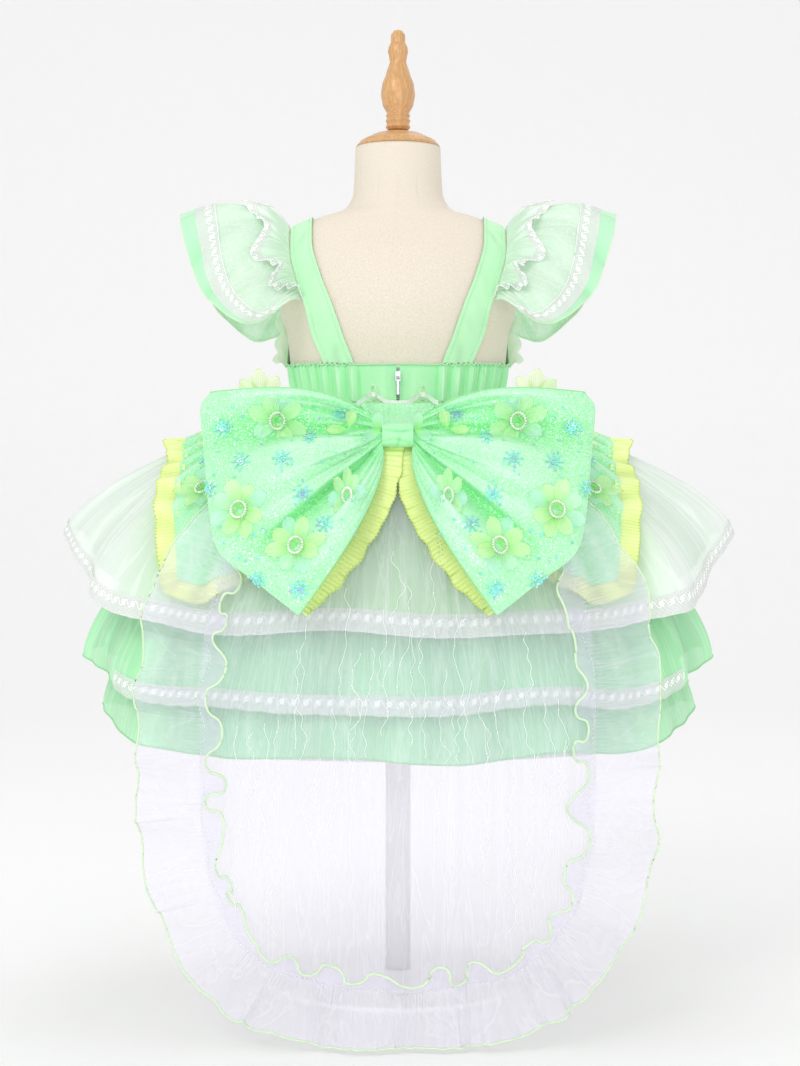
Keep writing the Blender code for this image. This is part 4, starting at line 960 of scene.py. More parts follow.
def turned_grid(profile, sides, steps=4):
    """A turned form: the profile, on a curve through its points, carried round the axis."""
    radius, height = np.array(profile).T
    at = np.linspace(0, len(profile) - 1, (len(profile) - 1) * steps + 1)
    low = np.clip(at.astype(int), 0, len(profile) - 2)
    share = at - low
    ease = share * share * (3 - 2 * share) * 0.5 + share * 0.5
    fine_radius = np.maximum(radius[low] * (1 - ease) + radius[low + 1] * ease, 0.00002)
    fine_height = height[low] * (1 - share) + height[low + 1] * share
    angle = columns_at(0, TURN, sides, endpoint=False)
    return point(fine_radius * np.cos(angle), fine_radius * np.sin(angle), fine_height[None, :])


def solid_of_rings(name, grid, material, replaces):
    """A closed solid of rings (columns round, rows along), which end at the axis."""
    centre = grid.reshape(-1, 3).mean(axis=0)
    mesh = surface(name, grid, True, grid[1:, 1:] - centre, grid - centre)[0]
    return show(name, mesh, material, replaces)


def make_form():
    """Linen torso with its seams, wooden cap and finial, pole and foot."""
    z = np.concatenate([np.linspace(0.400, 0.745, 90), np.linspace(0.748, 0.832, 40)])[None, :]
    angle = columns_at(0, TURN, 180, endpoint=False)
    skin = form_skin(angle, z)
    body = skin - unit(from_axis(skin)) * (0.0007 * form_seams(angle, z))[..., None]
    inwards = np.array([0.001, 0.001, 1.0])
    body = np.concatenate([body[:, :1] * inwards, body, body[:, -1:] * inwards], axis=1)
    solid_of_rings("linen_torso", body, finish("Linen"), ["form_torso"])
    wooden = finish("Turned wood")
    solid_of_rings("wood_neck_cap", turned_grid(CAP_PROFILE, 64), wooden, ["form_neck_cap"])
    solid_of_rings("wood_finial", turned_grid(FINIAL_PROFILE, 48), wooden, ["form_finial"])
    white = finish("White enamel")
    solid_of_rings("enamel_foot", turned_grid(BASE_PROFILE, 96), white, ["form_base"])
    ends = [(0.0, POLE_TOP), (POLE_RADIUS - 0.0008, POLE_TOP), (POLE_RADIUS, POLE_TOP - 0.0008),
            (POLE_RADIUS, POLE_BOTTOM), (0.0, POLE_BOTTOM)]
    solid_of_rings("enamel_pole", turned_grid(ends, 40, 2), white, ["form_pole"])


# Bodice, straps, sleeves


def front_top(angle):
    """Height of the front panel's top edge: low under the arms, high between the straps."""
    past_side = (pi / 2 - np.abs(angle - pi)) / (pi / 2)
    return BAND_TOP_SIDE + (FRONT_TOP - BAND_TOP_SIDE) * smoothstep(past_side / 0.42)


def make_bodice():
    """Front panel with its two shaped seams, and two shirred back bands, whose lower edges lie
    over the top of the first tier."""
    out = CLOTH / 2 + 0.0008
    satin = finish("Mint satin")
    mint = finish("Mint thread")
    angle = columns_at(pi / 2 + 0.003, 1.5 * pi - 0.003, 121)
    up = rows_at(0, 1, 40)
    low = (1 - up) ** 6
    z = WAIST + (front_top(angle) - WAIST) * up - 0.0024 * low
    ease = 0.0022 * smoothstep(up / 0.5) + 0.0026 * low
    seam = bell((np.abs(angle - pi) - 0.62 - 0.18 * up) / 0.018)
    pulled = 0.0004 * uneven(angle * 2 + up * 1.3, 9, 30, 3) * np.sin(pi * up)
    grid = form_skin(angle + 0 * up, z, out + ease + 0.0004 - 0.0009 * seam + pulled)
    edge = tube("front_edge", grid[:, -1] + unit(from_axis(grid[:, -1])) * 0.0005, EDGE_THREAD, mint)
    cloth("satin_front", grid, satin, ["bodice_front"])
    shirred = finish("Shirred satin")
    inner = math.asin(ZIP_HALF_WIDTH / 2 / 0.104)
    flat = math.asin(BAND_FLAT / 0.105)
    past_flat = np.linspace(flat, pi / 2 - 0.003, BAND_WAVES * 28 + 1)
    angle = np.concatenate([np.linspace(inner, flat, 12)[:-1], past_flat])[:, None]
    share = np.clip((angle - flat) / (pi / 2 - flat), 0, 1)
    top = BAND_TOP_BACK + (BAND_TOP_SIDE - BAND_TOP_BACK) * share
    up = rows_at(0, 1, 26)
    low = (1 - up) ** 4
    gathered = smoothstep(share * 12)
    tips = 0.0016 * gathered * uneven(share * TURN, 9, 26, 7) * (up ** 3 - (1 - up) ** 3 * 0.4)
    z = WAIST + (top - WAIST) * up + tips - 0.0026 * low
    phase = TURN * BAND_WAVES * share + 0.7 * uneven(share * TURN, 2, 7, 6) * gathered
    swell = 1.6 * BAND_FULLNESS * (0.8 + 0.3 * uneven(share * TURN, 3, 9, 4)) * (1 - np.cos(phase)) / 2
    swell = swell * (0.45 + 0.55 * np.sin(pi * up))
    small = 0.0006 * gathered * uneven(share * TURN + 0.05 * up, 16, 40, 5)
    grid = form_skin(angle + 0 * up, z, out + swell + small + 0.0008 + 0.0028 * low)
    for name, flip in mirrored():
        edge = grid[:, -1] + unit(from_axis(grid[:, -1])) * 0.0012
        trims = [tube("band_edge_" + name, edge * flip, HEM_THREAD, mint)]
        if name == "left":
            trims.append(bpy.data.objects["zip_tape_woven"])
        cloth("satin_band_" + name, grid * flip, shirred, ["bodice_back_" + name])


def over_shoulder(x, rise, end, back, out):
    """A point over the form at x: rise is 0 at height `end` and 1 on the shoulder's ridge, on
    the back or the front. Depth follows the form's ellipse at that height."""
    widths, heights = FORM_RINGS["half_width"][8:] + out, FORM_RINGS["z"][8:]
    ridge = np.interp(-np.abs(x), -widths, heights) + out
    z = end + (ridge - end) * rise
    share = x / (along(FORM_RINGS, "z", "half_width", z - out) + out)
    half_depth = along(FORM_RINGS, "z", "half_depth", z - out) + out
    depth = half_depth * np.sqrt(np.clip(1 - share ** 2, 0, 1))
    return point(x, -depth if back else depth, z)


def strap_x(strap, rise, across):
    """How far out a strap's points lie; `across` runs from -1 at its inner edge to 1."""
    return along(strap, "rise", "middle", rise) + across * along(strap, "rise", "half_width", rise)


def strap_grid(steps, columns):
    """The right strap: columns along it from the back band to the front panel, rows across."""
    across = rows_at(-1, 1, columns)
    out = CLOTH / 2 + 0.0010
    rises = np.sin(np.linspace(0, pi / 2, steps))[:, None]
    x = strap_x(STRAP_BACK, rises, across)
    end = BAND_TOP_BACK + (BAND_TOP_SIDE - BAND_TOP_BACK) * np.clip((x - BAND_FLAT) / 0.07, 0, 1)
    back = over_shoulder(x, rises, end + SEAM, True, out)
    rises = rises[-2::-1]
    x = strap_x(STRAP_FRONT, rises, across)
    front = over_shoulder(x, rises, FRONT_TOP + SEAM, False, out)
    return np.concatenate([back, front])


def sleeve_grid(columns, rows):
    """The right sleeve: columns along its seam from back to front, rows from seam to edge. It is
    a straight line from seam to edge, lifted by a half sine arch, and waves towards its edge."""
    share = np.linspace(0, 1, columns)
    edge_line = strap_grid(9, 4)[:, -1]
    length = length_along(edge_line)
    start, end = 0.25 * length[-1], 0.86 * length[-1]
    at = start + (end - start) * share
    seam = on_line(edge_line, length, at)
    seam = seam + np.array([0.0012, 0, 0.0]) + 0.0005 * unit(from_axis(seam))
    half = np.minimum(share, 1 - share)
    front = np.where(share > 0.5, -1, 1)
    edge = point(along(SLEEVE_EDGE, "share", "x", half), front * along(SLEEVE_EDGE, "share", "y", half),
        along(SLEEVE_EDGE, "share", "z", half))
    out = np.linspace(0, 1, rows)[None, :, None]
    top = smoothstep((half - 0.15) / 0.35)[:, None]
    lift = unit(np.concatenate([0 * top + 0.1, -front[:, None] * (1 - top), 0.35 + 0.65 * top], axis=1))
    arch = (0.010 + 0.010 * top)[:, None] * np.sin(pi * out ** 0.9)
    wave = 0.0035 * out * np.cos(TURN * SLEEVE_WAVES * share)[:, None, None]
    return seam[:, None] * (1 - out) + edge[:, None] * out + lift[:, None] * (arch + wave)


def make_straps():
    """Straps with turned edges and a row of stitches inside each."""
    grid = strap_grid(60, 15)
    facing = normals(grid, False, from_axis(grid) + np.array([0, 0, 0.05]))
    across = rows_at(-1, 1, 15)
    edge = 0.0007 * smoothstep((np.abs(across) - 0.72) / 0.15)
    folds = 0.0007 * uneven(columns_at(0, TURN, grid.shape[0]) + across * 0.3, 5, 22, 8)
    shaped = grid + facing * (edge + folds * (1 - np.abs(across)))[..., None]
    for name, flip in mirrored():
        rows = [(shaped + facing * 0.0003)[:, row] for row in (2, 12)]
        sewn = stitches("strap_stitches_" + name, [row * flip for row in rows], facing[:, 7] * flip,
            finish("Mint thread"))
        cloth("satin_strap_" + name, shaped * flip, finish("Mint satin"), ["strap_" + name],
            towards=facing * flip)


def stitches(name, lines, facing, material, pitch=0.0032, size=0.0011):
    """Rows of small stitches: flat ovals every `pitch` along each line."""
    centres, headings, faces = [], [], []
    for line in lines:
        length = length_along(line)
        at = np.arange(pitch / 2, length[-1], pitch)
        centre = on_line(line, length, at)
        normal = on_line(facing, length, at)
        centres.append(centre)
        headings.append(np.gradient(centre, axis=0))
        faces.append(normal)
    vertices, quads = ball(size, 4, 6)
    shape = (vertices * np.array([1.0, 0.28, 0.25]), quads)
    return stamp(name, shape, np.concatenate(centres), np.concatenate(faces), material,
        heading=np.concatenate(headings))


def make_sleeves():
    """Sheer flutter sleeves: gathered at the seam, with a corded lace band inside a mint border
    and an overlocked edge, and a wide wavy frill with a lace edge over the seam."""
    columns, rows = SLEEVE_WAVES * 44 + 1, 41
    share = np.linspace(0, 1, columns)
    half = np.minimum(share, 1 - share)
    out = rows_at(0, 1, rows)
    plain = sleeve_grid(columns, rows)
    facing = normals(plain, False, point(0.3, np.sign(plain[:, :, 1] + 1e-6), 1.0))
    turn = share[:, None] * TURN
    gathers = 0.0013 * uneven(turn + 0.35 * out, 16, 40, 11) * np.exp(-3.0 * out) * smoothstep(out * 9)
    gathers = gathers + 0.0022 * uneven(turn + 0.5 * out, 4, 12, 13) * smoothstep(out * 1.5)
    sleeve = plain + facing * gathers[..., None]
    inset = (0.08 * smoothstep((half - 0.18) / 0.30) - 0.055 * (1 - smoothstep(half / 0.30)))[:, None]
    band = (np.linspace(0.74, 0.935, 8) - inset) * (rows - 1)
    lace_band = between(sleeve + facing * 0.0012, band)
    border_rows = (0.935 - inset + (0.065 + inset) * np.linspace(0, 1, 5)) * (rows - 1)
    border = between(sleeve + facing * 0.0005, border_rows)
    taper = smoothstep(half * 7)[:, None]
    ragged = 0.26 * np.cos(TURN * FRILL_WAVES * share + 0.5) + 0.10 * uneven(share * TURN, 9, 21, 14)
    reach = 0.30 * taper * (1 + ragged)[:, None]
    down = rows_at(0, 1, 19)
    frill_rows = (0.015 + reach * down) * (rows - 1)
    side = (np.sin(TURN * FRILL_WAVES * share)[:, None] * 0.6 + 0.5 * uneven(turn, 11, 30, 12)) * down
    lower = (1 - 0.5 * (2 * half) ** 4)[:, None]
    stand = 0.0022 + 0.0085 * np.sin(pi * down * 0.62) * (1 + side) * taper * lower
    frill_facing = between(facing, frill_rows)
    frill = between(plain, frill_rows) + frill_facing * np.maximum(stand, 0.0018)[..., None]
    edging = between(frill + frill_facing * 0.0006, np.linspace(13.5, 18, 6))
    white, pale = finish("White thread"), finish("Pale thread")
    lace_finish = finish("Sleeve lace")
    for name, flip in mirrored():
        hem = tube("sleeve_edge_" + name, sleeve[:, -1] * flip, EDGE_THREAD, pale)
        cord = tube("sleeve_cord_" + name, lace_band[:, 0] * flip, EDGE_THREAD, white)
        cloth("organza_sleeve_" + name, sleeve * flip, finish("Sleeve organza"),
            ["sleeve_" + name], towards=facing * flip)
        cloth("border_sleeve_" + name, border * flip, finish("Sleeve border"),
            towards=between(facing, border_rows) * flip)
        cloth("lace_sleeve_band_" + name, lace_band * flip, lace_finish,
            ["sleeve_lace_" + name], towards=between(facing, band) * flip)
        edge = tube("frill_edge_" + name, frill[:, -1] * flip, FINE_THREAD, white)
        cloth("organza_sleeve_frill_" + name, frill * flip, finish("Frill organza"),
            ["sleeve_frill_" + name], towards=frill_facing * flip)
        cloth("lace_frill_edge_" + name, edging * flip, lace_finish,
            towards=between(frill_facing, np.linspace(13.5, 18, 6)) * flip)


def make_side_frills():
    """Petals that stand out from the front panel's armhole edges, as far as the frill's curve:
    nine millimetres, and five more at the middle of each petal."""
    share = columns_at(0, 1, 65)
    angle = math.radians(93) + math.radians(29) * share
    base = form_skin(angle, front_top(angle) - 0.004, CLOTH * 1.5 + 0.0036)[:, 0]
    petal = 0.009 + 0.005 * np.abs(np.sin(4 * pi * share))
    outwards = unit(from_axis(base)) * petal + np.array([0, 0, 0.005])
    rows = np.linspace(0, 1, 9)[None, :, None]
    grid = base[:, None] + outwards[:, None] * rows + np.array([0, 0, 0.0035]) * np.sin(pi * rows)
    for name, flip in mirrored():
        cloth("petals_side_" + name, grid * flip, finish("Side petals"),
            ["side_frill_" + name], towards=np.array([0, 0, 1.0]))


def make_zip():
    """Zip tape with its two rows of teeth; the slider and its pull are the solids themselves."""
    z = rows_at(WAIST, BAND_TOP_BACK - 0.0005, 24)
    x = columns_at(-ZIP_HALF_WIDTH, ZIP_HALF_WIDTH, 9)
    depth = along(FORM_RINGS, "z", "half_depth", z) + 0.0014
    cloth("zip_tape_woven", point(x, -depth, z), finish("Zip tape"), ["zip_tape"],
        towards=BEHIND)
    up = np.arange(WAIST + 0.0015, BAND_TOP_BACK - 0.0025, TEETH_PITCH)
    side = np.where(np.arange(len(up)) % 2 == 0, 0.0005, -0.0005)
    teeth = point(side, -along(FORM_RINGS, "z", "half_depth", up) - 0.0022, up)
    vertices, faces = ball(0.0011, 5, 8)
    stamp("zip_teeth", (vertices * np.array([0.55, 1.2, 0.45]), faces), teeth, BEHIND, finish("Zip metal"))
    for node in ("zip_slider", "zip_pull"):
        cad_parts[node].data.materials.clear()
        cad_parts[node].data.materials.append(finish("Zip metal"))


# Skirts


def underskirt_size(z):
    """Half-width and half-depth of the underskirt at a height."""
    down = np.clip((UNDER_TOP - z) / (UNDER_TOP - UNDER_HEM), 0, 1)
    spread = 1 - (1 - down) ** UNDER_FLARE
    waist_width = float(along(FORM_RINGS, "z", "half_width", WAIST)) + NEST
    waist_depth = float(along(FORM_RINGS, "z", "half_depth", WAIST)) + NEST
    return (waist_width + (UNDER_HALF_WIDTH - waist_width) * spread,
            waist_depth + (UNDER_HALF_DEPTH - waist_depth) * spread)


def tier_surface(tier, angle, down):
    """A tier's point at an angle and a share of its way down: an ellipse that spreads quickly at
    first, with a hem that kicks up at the sides, and waves that grow towards it."""
    start_width, start_depth = underskirt_size(tier.top)
    corner = np.abs(np.sin(angle)) ** HEM_CORNER
    hem = tier.back_hem + (tier.side_hem - tier.back_hem) * corner
    spread = 1 - (1 - down) ** tier.flare
    wave = tier.wave * down ** 1.5 * np.cos(tier.waves * angle)
    seat = NEST + 0.0004
    half_width = start_width + seat + (tier.half_width - start_width - seat) * spread + wave
    half_depth = start_depth + seat + (tier.half_depth - start_depth - seat) * spread + wave
    z = tier.top + (hem - tier.top) * down
    return point(half_width * np.sin(angle), -half_depth * np.cos(angle), z)


def tier_facing(tier, angle, down):
    """The direction square to a tier's outer face."""
    step = 0.002
    low = np.minimum(down, 1 - step)
    run = tier_surface(tier, angle + step, low) - tier_surface(tier, angle - step, low)
    fall = tier_surface(tier, angle, low + step) - tier_surface(tier, angle, low)
    return unit(np.cross(fall, run))


def tier_folds(angle, down, seed):
    """How far a tier's smaller folds stand out: fine gathers at the seam that die away, and
    uneven folds that grow towards the hem."""
    taken_up = (1 - down) ** 1.5 * np.sin(pi * np.clip(down * 8, 0, 0.5))
    gathers = 0.0013 * taken_up * uneven(angle, 70, 130, seed)
    return gathers + 0.0028 * smoothstep(down * 1.4) * uneven(angle + 0.06 * down, 11, 38, seed + 1)


def make_skirts():
    """Cotton underskirt, three gathered tiers with overlocked hems, and their scalloped lace."""
    angle = columns_at(0, TURN, 240, endpoint=False)
    z = rows_at(UNDER_TOP, UNDER_HEM, 40)
    half_width, half_depth = underskirt_size(z)
    drape = 0.0010 * uneven(angle, 9, 26, 20) * smoothstep((UNDER_TOP - z) * 6)
    grid = point((half_width + drape) * np.sin(angle), -(half_depth + drape) * np.cos(angle), z)
    stitched = grid[:, -3] + unit(from_axis(grid[:, -3])) * 0.0006
    ring = np.concatenate([stitched, stitched[:1]])
    sewn = stitches("underskirt_hem_stitches", [ring], unit(from_axis(ring)), finish("White thread"),
        0.004)
    cloth("cotton_underskirt", grid, finish("White cotton"), ["underskirt"], closed=True)
    finishes = {
        "tier_a": ("Pale organza", "pale_organza", "White thread"),
        "tier_b": ("Mint organza", "mint_organza", "Green thread"),
        "tier_c": ("Mint organza", "mint_organza", "Green thread")}
    columns = TIER_A.waves * 48
    angle = columns_at(0, TURN, columns, endpoint=False)
    down = rows_at(0, 1, 36) ** 1.15
    scallop = np.abs(np.sin(columns / 8 * angle / 2)) ** 0.8
    for number, tier in enumerate((TIER_A, TIER_B, TIER_C)):
        facing = tier_facing(tier, angle, down)
        folds = tier_folds(angle, down, 30 + number * 5)
        grid = tier_surface(tier, angle, down) + facing * folds[..., None]
        grid = grid + point(0.0, 0.0, 0.0035 * down ** 2 * uneven(angle, 4, 12, 33 + number * 5))
        finish_name, slot, thread_name = finishes[tier.name]
        hem = tube("hem_" + tier.name, grid[:, -1], HEM_THREAD, finish(thread_name), closed=True)
        cloth("organza_" + tier.name, grid, finish(finish_name), [tier.name], closed=True)
        if tier is TIER_C:
            continue
        over = between(grid + facing * 0.0012, np.linspace(32.2, 35, 9))
        fall = unit(over[:, -1] - over[:, -2])
        over[:, -1] = over[:, -1] + fall * (0.0016 * scallop - 0.0006)
        whole = tier is TIER_A
        if not whole:
            over = np.roll(over, columns // 6, axis=0)[:columns // 3 + 1]
        cloth("lace_hem_" + tier.name, over, finish("Hem lace"),
            ["lace_a" if whole else "lace_b"], closed=whole)


def peplum_down(angle, share):
    """How far down tier A a share of the peplum's own length comes."""
    reach = along(PEPLUM_HEM, "angle", "reach", np.degrees(angle))
    return 0.012 + (reach - 0.012) * share


def peplum_surface(angle, share):
    """The peplum's point: tier A's, lifted square to it by the peplum's own fullness."""
    down = peplum_down(angle, share)
    lift = NEST + 0.0004 + 0.0026 * smoothstep(share * 4) + 0.0030 * share
    return tier_surface(TIER_A, angle, down) + tier_facing(TIER_A, angle, down) * lift[..., None]


def make_peplum():
    """Two glitter-net overskirt halves with a pleated trim on the hem of each, and sequins."""
    back, front = math.radians(16), pi - 0.0016
    angles = np.linspace(back, front, 260)
    share = rows_at(0, 1, 34)
    grid = peplum_surface(angles[:, None], share)
    facing = tier_facing(TIER_A, angles[:, None], peplum_down(angles[:, None], share))
    folds = 0.0022 * smoothstep(share * 2) * uneven(angles[:, None] * 2, 12, 36, 50)
    seam = (1 - share) ** 2 * np.sin(pi * np.clip(share * 8, 0, 0.5))
    folds = folds + 0.0009 * seam * uneven(angles[:, None] * 2, 60, 110, 51)
    grid = grid + facing * folds[..., None]
    coarse = np.linspace(back, front, 900)
    line = peplum_surface(coarse, np.ones(900))
    length = length_along(line)
    at = np.arange(0.001, length[-1] - 0.001, PLEAT_PITCH / 6)
    angle = np.interp(at, length, coarse)
    hem = peplum_surface(angle, np.ones(len(at)))
    square = tier_facing(TIER_A, angle, peplum_down(angle, np.ones(len(at))))
    away = unit(np.cross(np.gradient(hem, axis=0), square))
    away = away * (1 if away[-1, 2] < 0 else -1)
    lift = np.interp(angle, angles, folds[:, -1])
    turn = at / length[-1] * TURN
    pleat = 0.0010 * triangle_wave(at / PLEAT_PITCH)
    wide = 0.88 + 0.20 * uneven(turn, 5, 13, 52)
    swing = 0.0055 * np.abs(uneven(turn, 6, 15, 53))
    scallop = 0.0008 * np.abs(np.cos(pi * at / PLEAT_PITCH))
    rows = []
    for place in np.linspace(-0.30, 1.0, 9):
        stand = max(place, 0)
        reach = PEPLUM_TRIM_WIDTH * place * wide + scallop * stand ** 3
        out = lift - 0.0010 + 0.0026 * stand ** 0.5 + pleat * (0.5 + 0.8 * stand) + swing * stand
        rows.append(hem + away * reach[:, None] + square * out[:, None])
    trim = np.stack(rows, axis=1)
    dots, faces = [], []
    for degrees, down in rows_of(PEPLUM_SNOWFLAKES):
        turn = np.array(math.radians(degrees))
        rate = down / along(PEPLUM_HEM, "angle", "reach", degrees)
        here = peplum_surface(turn, rate)
        normal = unit(tier_facing(TIER_A, turn, np.array(down)))
        up = unit(here - peplum_surface(turn, rate + 0.1))
        around = flake_points(math.radians(degrees))
        dots.append(here + normal * 0.0032 + around[:, :1] * np.cross(up, normal) + around[:, 1:] * up)
        faces.append(np.broadcast_to(normal, dots[-1].shape))
    dots, faces = np.concatenate(dots), np.concatenate(faces)
    for name, flip in mirrored():
        sewn = sequins("sequins_peplum_" + name, dots * flip, faces * flip)
        cloth("net_peplum_" + name, grid * flip, finish("Glitter net"), ["peplum_" + name])
        pleated_trim("peplum_trim_" + name, trim * flip, None, "net_peplum_" + name)


def flake_points(turn):
    """Places of a snowflake's dots in its own plane: one in the middle and three along each of
    eight arms."""
    reach = np.array([0.0027, 0.0053, 0.0078])[:, None]
    arm = turn + np.arange(8) / 8 * TURN
    around = np.stack([reach * np.cos(arm), reach * np.sin(arm)], axis=-1).reshape(-1, 2)
    return np.concatenate([[[0.0, 0.0]], around])


def pleated_trim(solid, trim, towards, rests_on):
    """A pleated trim in the place of its solid, with a thread along its free edge."""
    thread_name = solid.replace("trim", "trim_edge")
    edge = tube(thread_name, trim[:, -1], TRIM_THREAD, finish("Lime thread"))
    cloth("pleated_" + solid, trim, finish("Pleated trim"), [solid], towards=towards)


def triangle_wave(at):
    """A zigzag between -1 and 1 with one tooth for each whole step of `at`."""
    return 1 - 4 * np.abs(at - np.floor(at + 0.5))


# Train


def train_y(x, z):
    """Depth of the hanging train at a place seen from behind: an ellipse at each height."""
    half_width = along(TRAIN_HANG, "z", "half_width", z)
    half_depth = along(TRAIN_HANG, "z", "half_depth", z)
    return -half_depth * np.sqrt(np.clip(1 - (x / half_width) ** 2, 0.02, 1))


def train_hem(x):
    """Height of the train's seam line under its panel at x, on a superellipse."""
    drop = (1 - np.clip(np.abs(x) / TRAIN_HALF_WIDTH, 0, 1) ** TRAIN_ROUND) ** (1 / TRAIN_ROUND)
    return TRAIN_SIDE_END - (TRAIN_SIDE_END - TRAIN_SEAM_BOTTOM) * drop


def train_panel(columns, rows):
    """The panel: columns from left to right, rows from the waist to the round hem, with fine
    gathers at the top, long uneven folds that fade towards the hem, and a doubled fold on each
    side. Its edge lies a little outside the ruffle's seam."""
    across = np.sin(np.linspace(-1, 1, columns) * pi / 2)[:, None]
    hem = train_hem(across * TRAIN_HALF_WIDTH) - 0.003
    down = rows_at(0, 1, rows) ** 1.4
    z = TRAIN_TOP + (hem - TRAIN_TOP) * down
    side_z = TRAIN_TOP + (TRAIN_SIDE_END - TRAIN_TOP) * down
    x = across * (along(TRAIN_SIDE, "z", "half_width", side_z) + 0.003)
    fold = 0.0030 * uneven(across * 2.2 + 0.15 * down, 8, 24, 60) * np.sin(pi * down ** 0.8)
    crinkle = 0.0009 * uneven(across * 3.0 + 0.5 * down, 40, 80, 61) * np.sin(pi * down ** 0.5)
    hanging = np.sin(pi * np.clip((z - 0.20) / 0.23, 0, 1))
    doubled = 0.0030 * bell((np.abs(x) - 0.150) / 0.006) * hanging
    return point(x, train_y(x, z) - np.abs(fold) - crinkle - doubled, z)


def train_seam(count):
    """The panel's edge from the top left, round the hem, to the top right, evenly spaced, with
    the direction away from the panel."""
    side_z = np.linspace(TRAIN_TOP, TRAIN_SIDE_END, 60)
    side = np.stack([along(TRAIN_SIDE, "z", "half_width", side_z), side_z], axis=1)
    turn = np.linspace(0, pi / 2, 80)[1:]
    power = 2 / TRAIN_ROUND
    hem_z = TRAIN_SIDE_END - (TRAIN_SIDE_END - TRAIN_SEAM_BOTTOM) * np.sin(turn) ** power
    hem = np.stack([TRAIN_HALF_WIDTH * np.cos(turn) ** power, hem_z], axis=1)
    half = np.concatenate([side, hem])
    line = np.concatenate([half * np.array([-1, 1]), half[-2::-1]])
    length = length_along(line)
    at = np.linspace(0, length[-1], count)
    x, z = np.interp(at, length, line[:, 0]), np.interp(at, length, line[:, 1])
    near = np.array([at - 0.02, at + 0.02]).clip(0, length[-1])
    run = np.stack([np.diff(np.interp(near, length, line[:, k]), axis=0)[0] for k in range(2)], axis=1)
    run = run / np.linalg.norm(run, axis=1, keepdims=True)
    return x, z, np.stack([run[:, 1], -run[:, 0]], axis=1)


def make_train():
    """Sheer crinkled panel with its long threads, and the gathered ruffle with its heading,
    whose edge folds over itself in uneven waves."""
    panel = train_panel(200, 120)
    loose = make_train_threads()
    cloth("sheer_train_panel", panel, finish("Train organza"), ["train_panel"],
        towards=BEHIND)
    columns = RUFFLE_WAVES * 48 + 1
    x, z, away = train_seam(columns)
    share = np.linspace(0, 1, columns)
    turn = share * TURN
    upper = smoothstep((z - 0.36) / 0.12)
    wander = 0.0035 * uneven(turn, 7, 26, 66) * (1 - 0.6 * upper)
    x, z = x + away[:, 0] * wander, z + away[:, 1] * wander
    fullness = 0.0085 * (1 - 0.72 * upper)
    phase = TURN * RUFFLE_WAVES * share + 1.0 * uneven(turn, 3, 12, 65)
    depth = 0.75 + 0.35 * uneven(turn, 5, 19, 67)
    wave = depth * (1 - np.cos(phase)) / 2
    bunched = bell((np.abs(x) - 0.112) / 0.016) * smoothstep((0.12 - z) / 0.04)
    width = RUFFLE_WIDTH - 0.010 * np.clip((0.16 - z) / 0.10, 0, 1) - 0.022 * upper
    width = width * (0.25 + 0.75 * smoothstep(np.minimum(share, 1 - share) * 18))
    places = np.concatenate([np.linspace(-1, 0, 8)[:-1], np.linspace(0, 1, 24)])
    lifts = np.interp(places, [-1.0, -0.4, 0.0, 0.45, 1.0], [0.85, 0.35, 0.0, 0.7, 1.0])
    small = uneven(turn, 90, 190, 62)
    middle = uneven(turn, 34, 80, 63)
    fold = phase * 1.3 + 0.9 * uneven(turn, 6, 17, 68)
    heading = RUFFLE_HEADING * (1.0 + (0.50 + 0.25 * uneven(turn, 5, 13, 69)) * np.cos(fold))
    rows = []
    for place, lift in zip(places, lifts):
        if place < 0:
            reach = heading * place
            swing = -0.0036 * (0.55 + 0.45 * uneven(turn, 8, 21, 71)) * np.sin(2 * fold) * -place
            fine = 0.0055 * (1 + np.sin(fold)) * -place * (1 - 0.5 * upper)
        else:
            reach = width * place - 0.0040 * bunched * np.cos(3 * phase) * place
            swing = 0.0048 * np.sin(phase + 0.6) * place ** 2 + 0.0020 * middle * place
            swing = swing + 0.0050 * bunched * np.sin(3 * phase) * place
            fine = 0.0017 * small * bell((place - 0.10) / 0.25) + 0.0030 * middle * lift
            fine = np.abs(fine) + 0.0040 * bunched * (1 + np.cos(3 * phase + 1)) * lift
        row_x = x + away[:, 0] * reach + away[:, 1] * swing
        row_z = z + away[:, 1] * reach - away[:, 0] * swing
        steep = np.abs(train_y(row_x, row_z + 0.002) - train_y(row_x, row_z - 0.002)) / 0.004
        off = (NEST + 0.0004) * np.sqrt(1 + steep ** 2)
        row_z = np.maximum(row_z, 0.0052)
        rows.append(point(row_x, train_y(row_x, row_z) - off - fullness * wave * lift - fine, row_z))
    ruffle = np.stack(rows, axis=1)
    pale = finish("Pale thread")
    seam_line = ruffle[:, 7] + BEHIND * 0.0004
    facing = np.broadcast_to(BEHIND, seam_line.shape)
    sewn = [
        tube("train_ruffle_edge", ruffle[:, -1], RUFFLE_THREAD, pale),
        tube("train_heading_edge", ruffle[:, 0], HEADING_THREAD, pale),
        stitches("train_gathering_stitches", [seam_line], facing, pale, 0.0045)]
    cloth("sheer_train_ruffle", ruffle, finish("Ruffle organza"), ["train_ruffle"],
        towards=BEHIND)


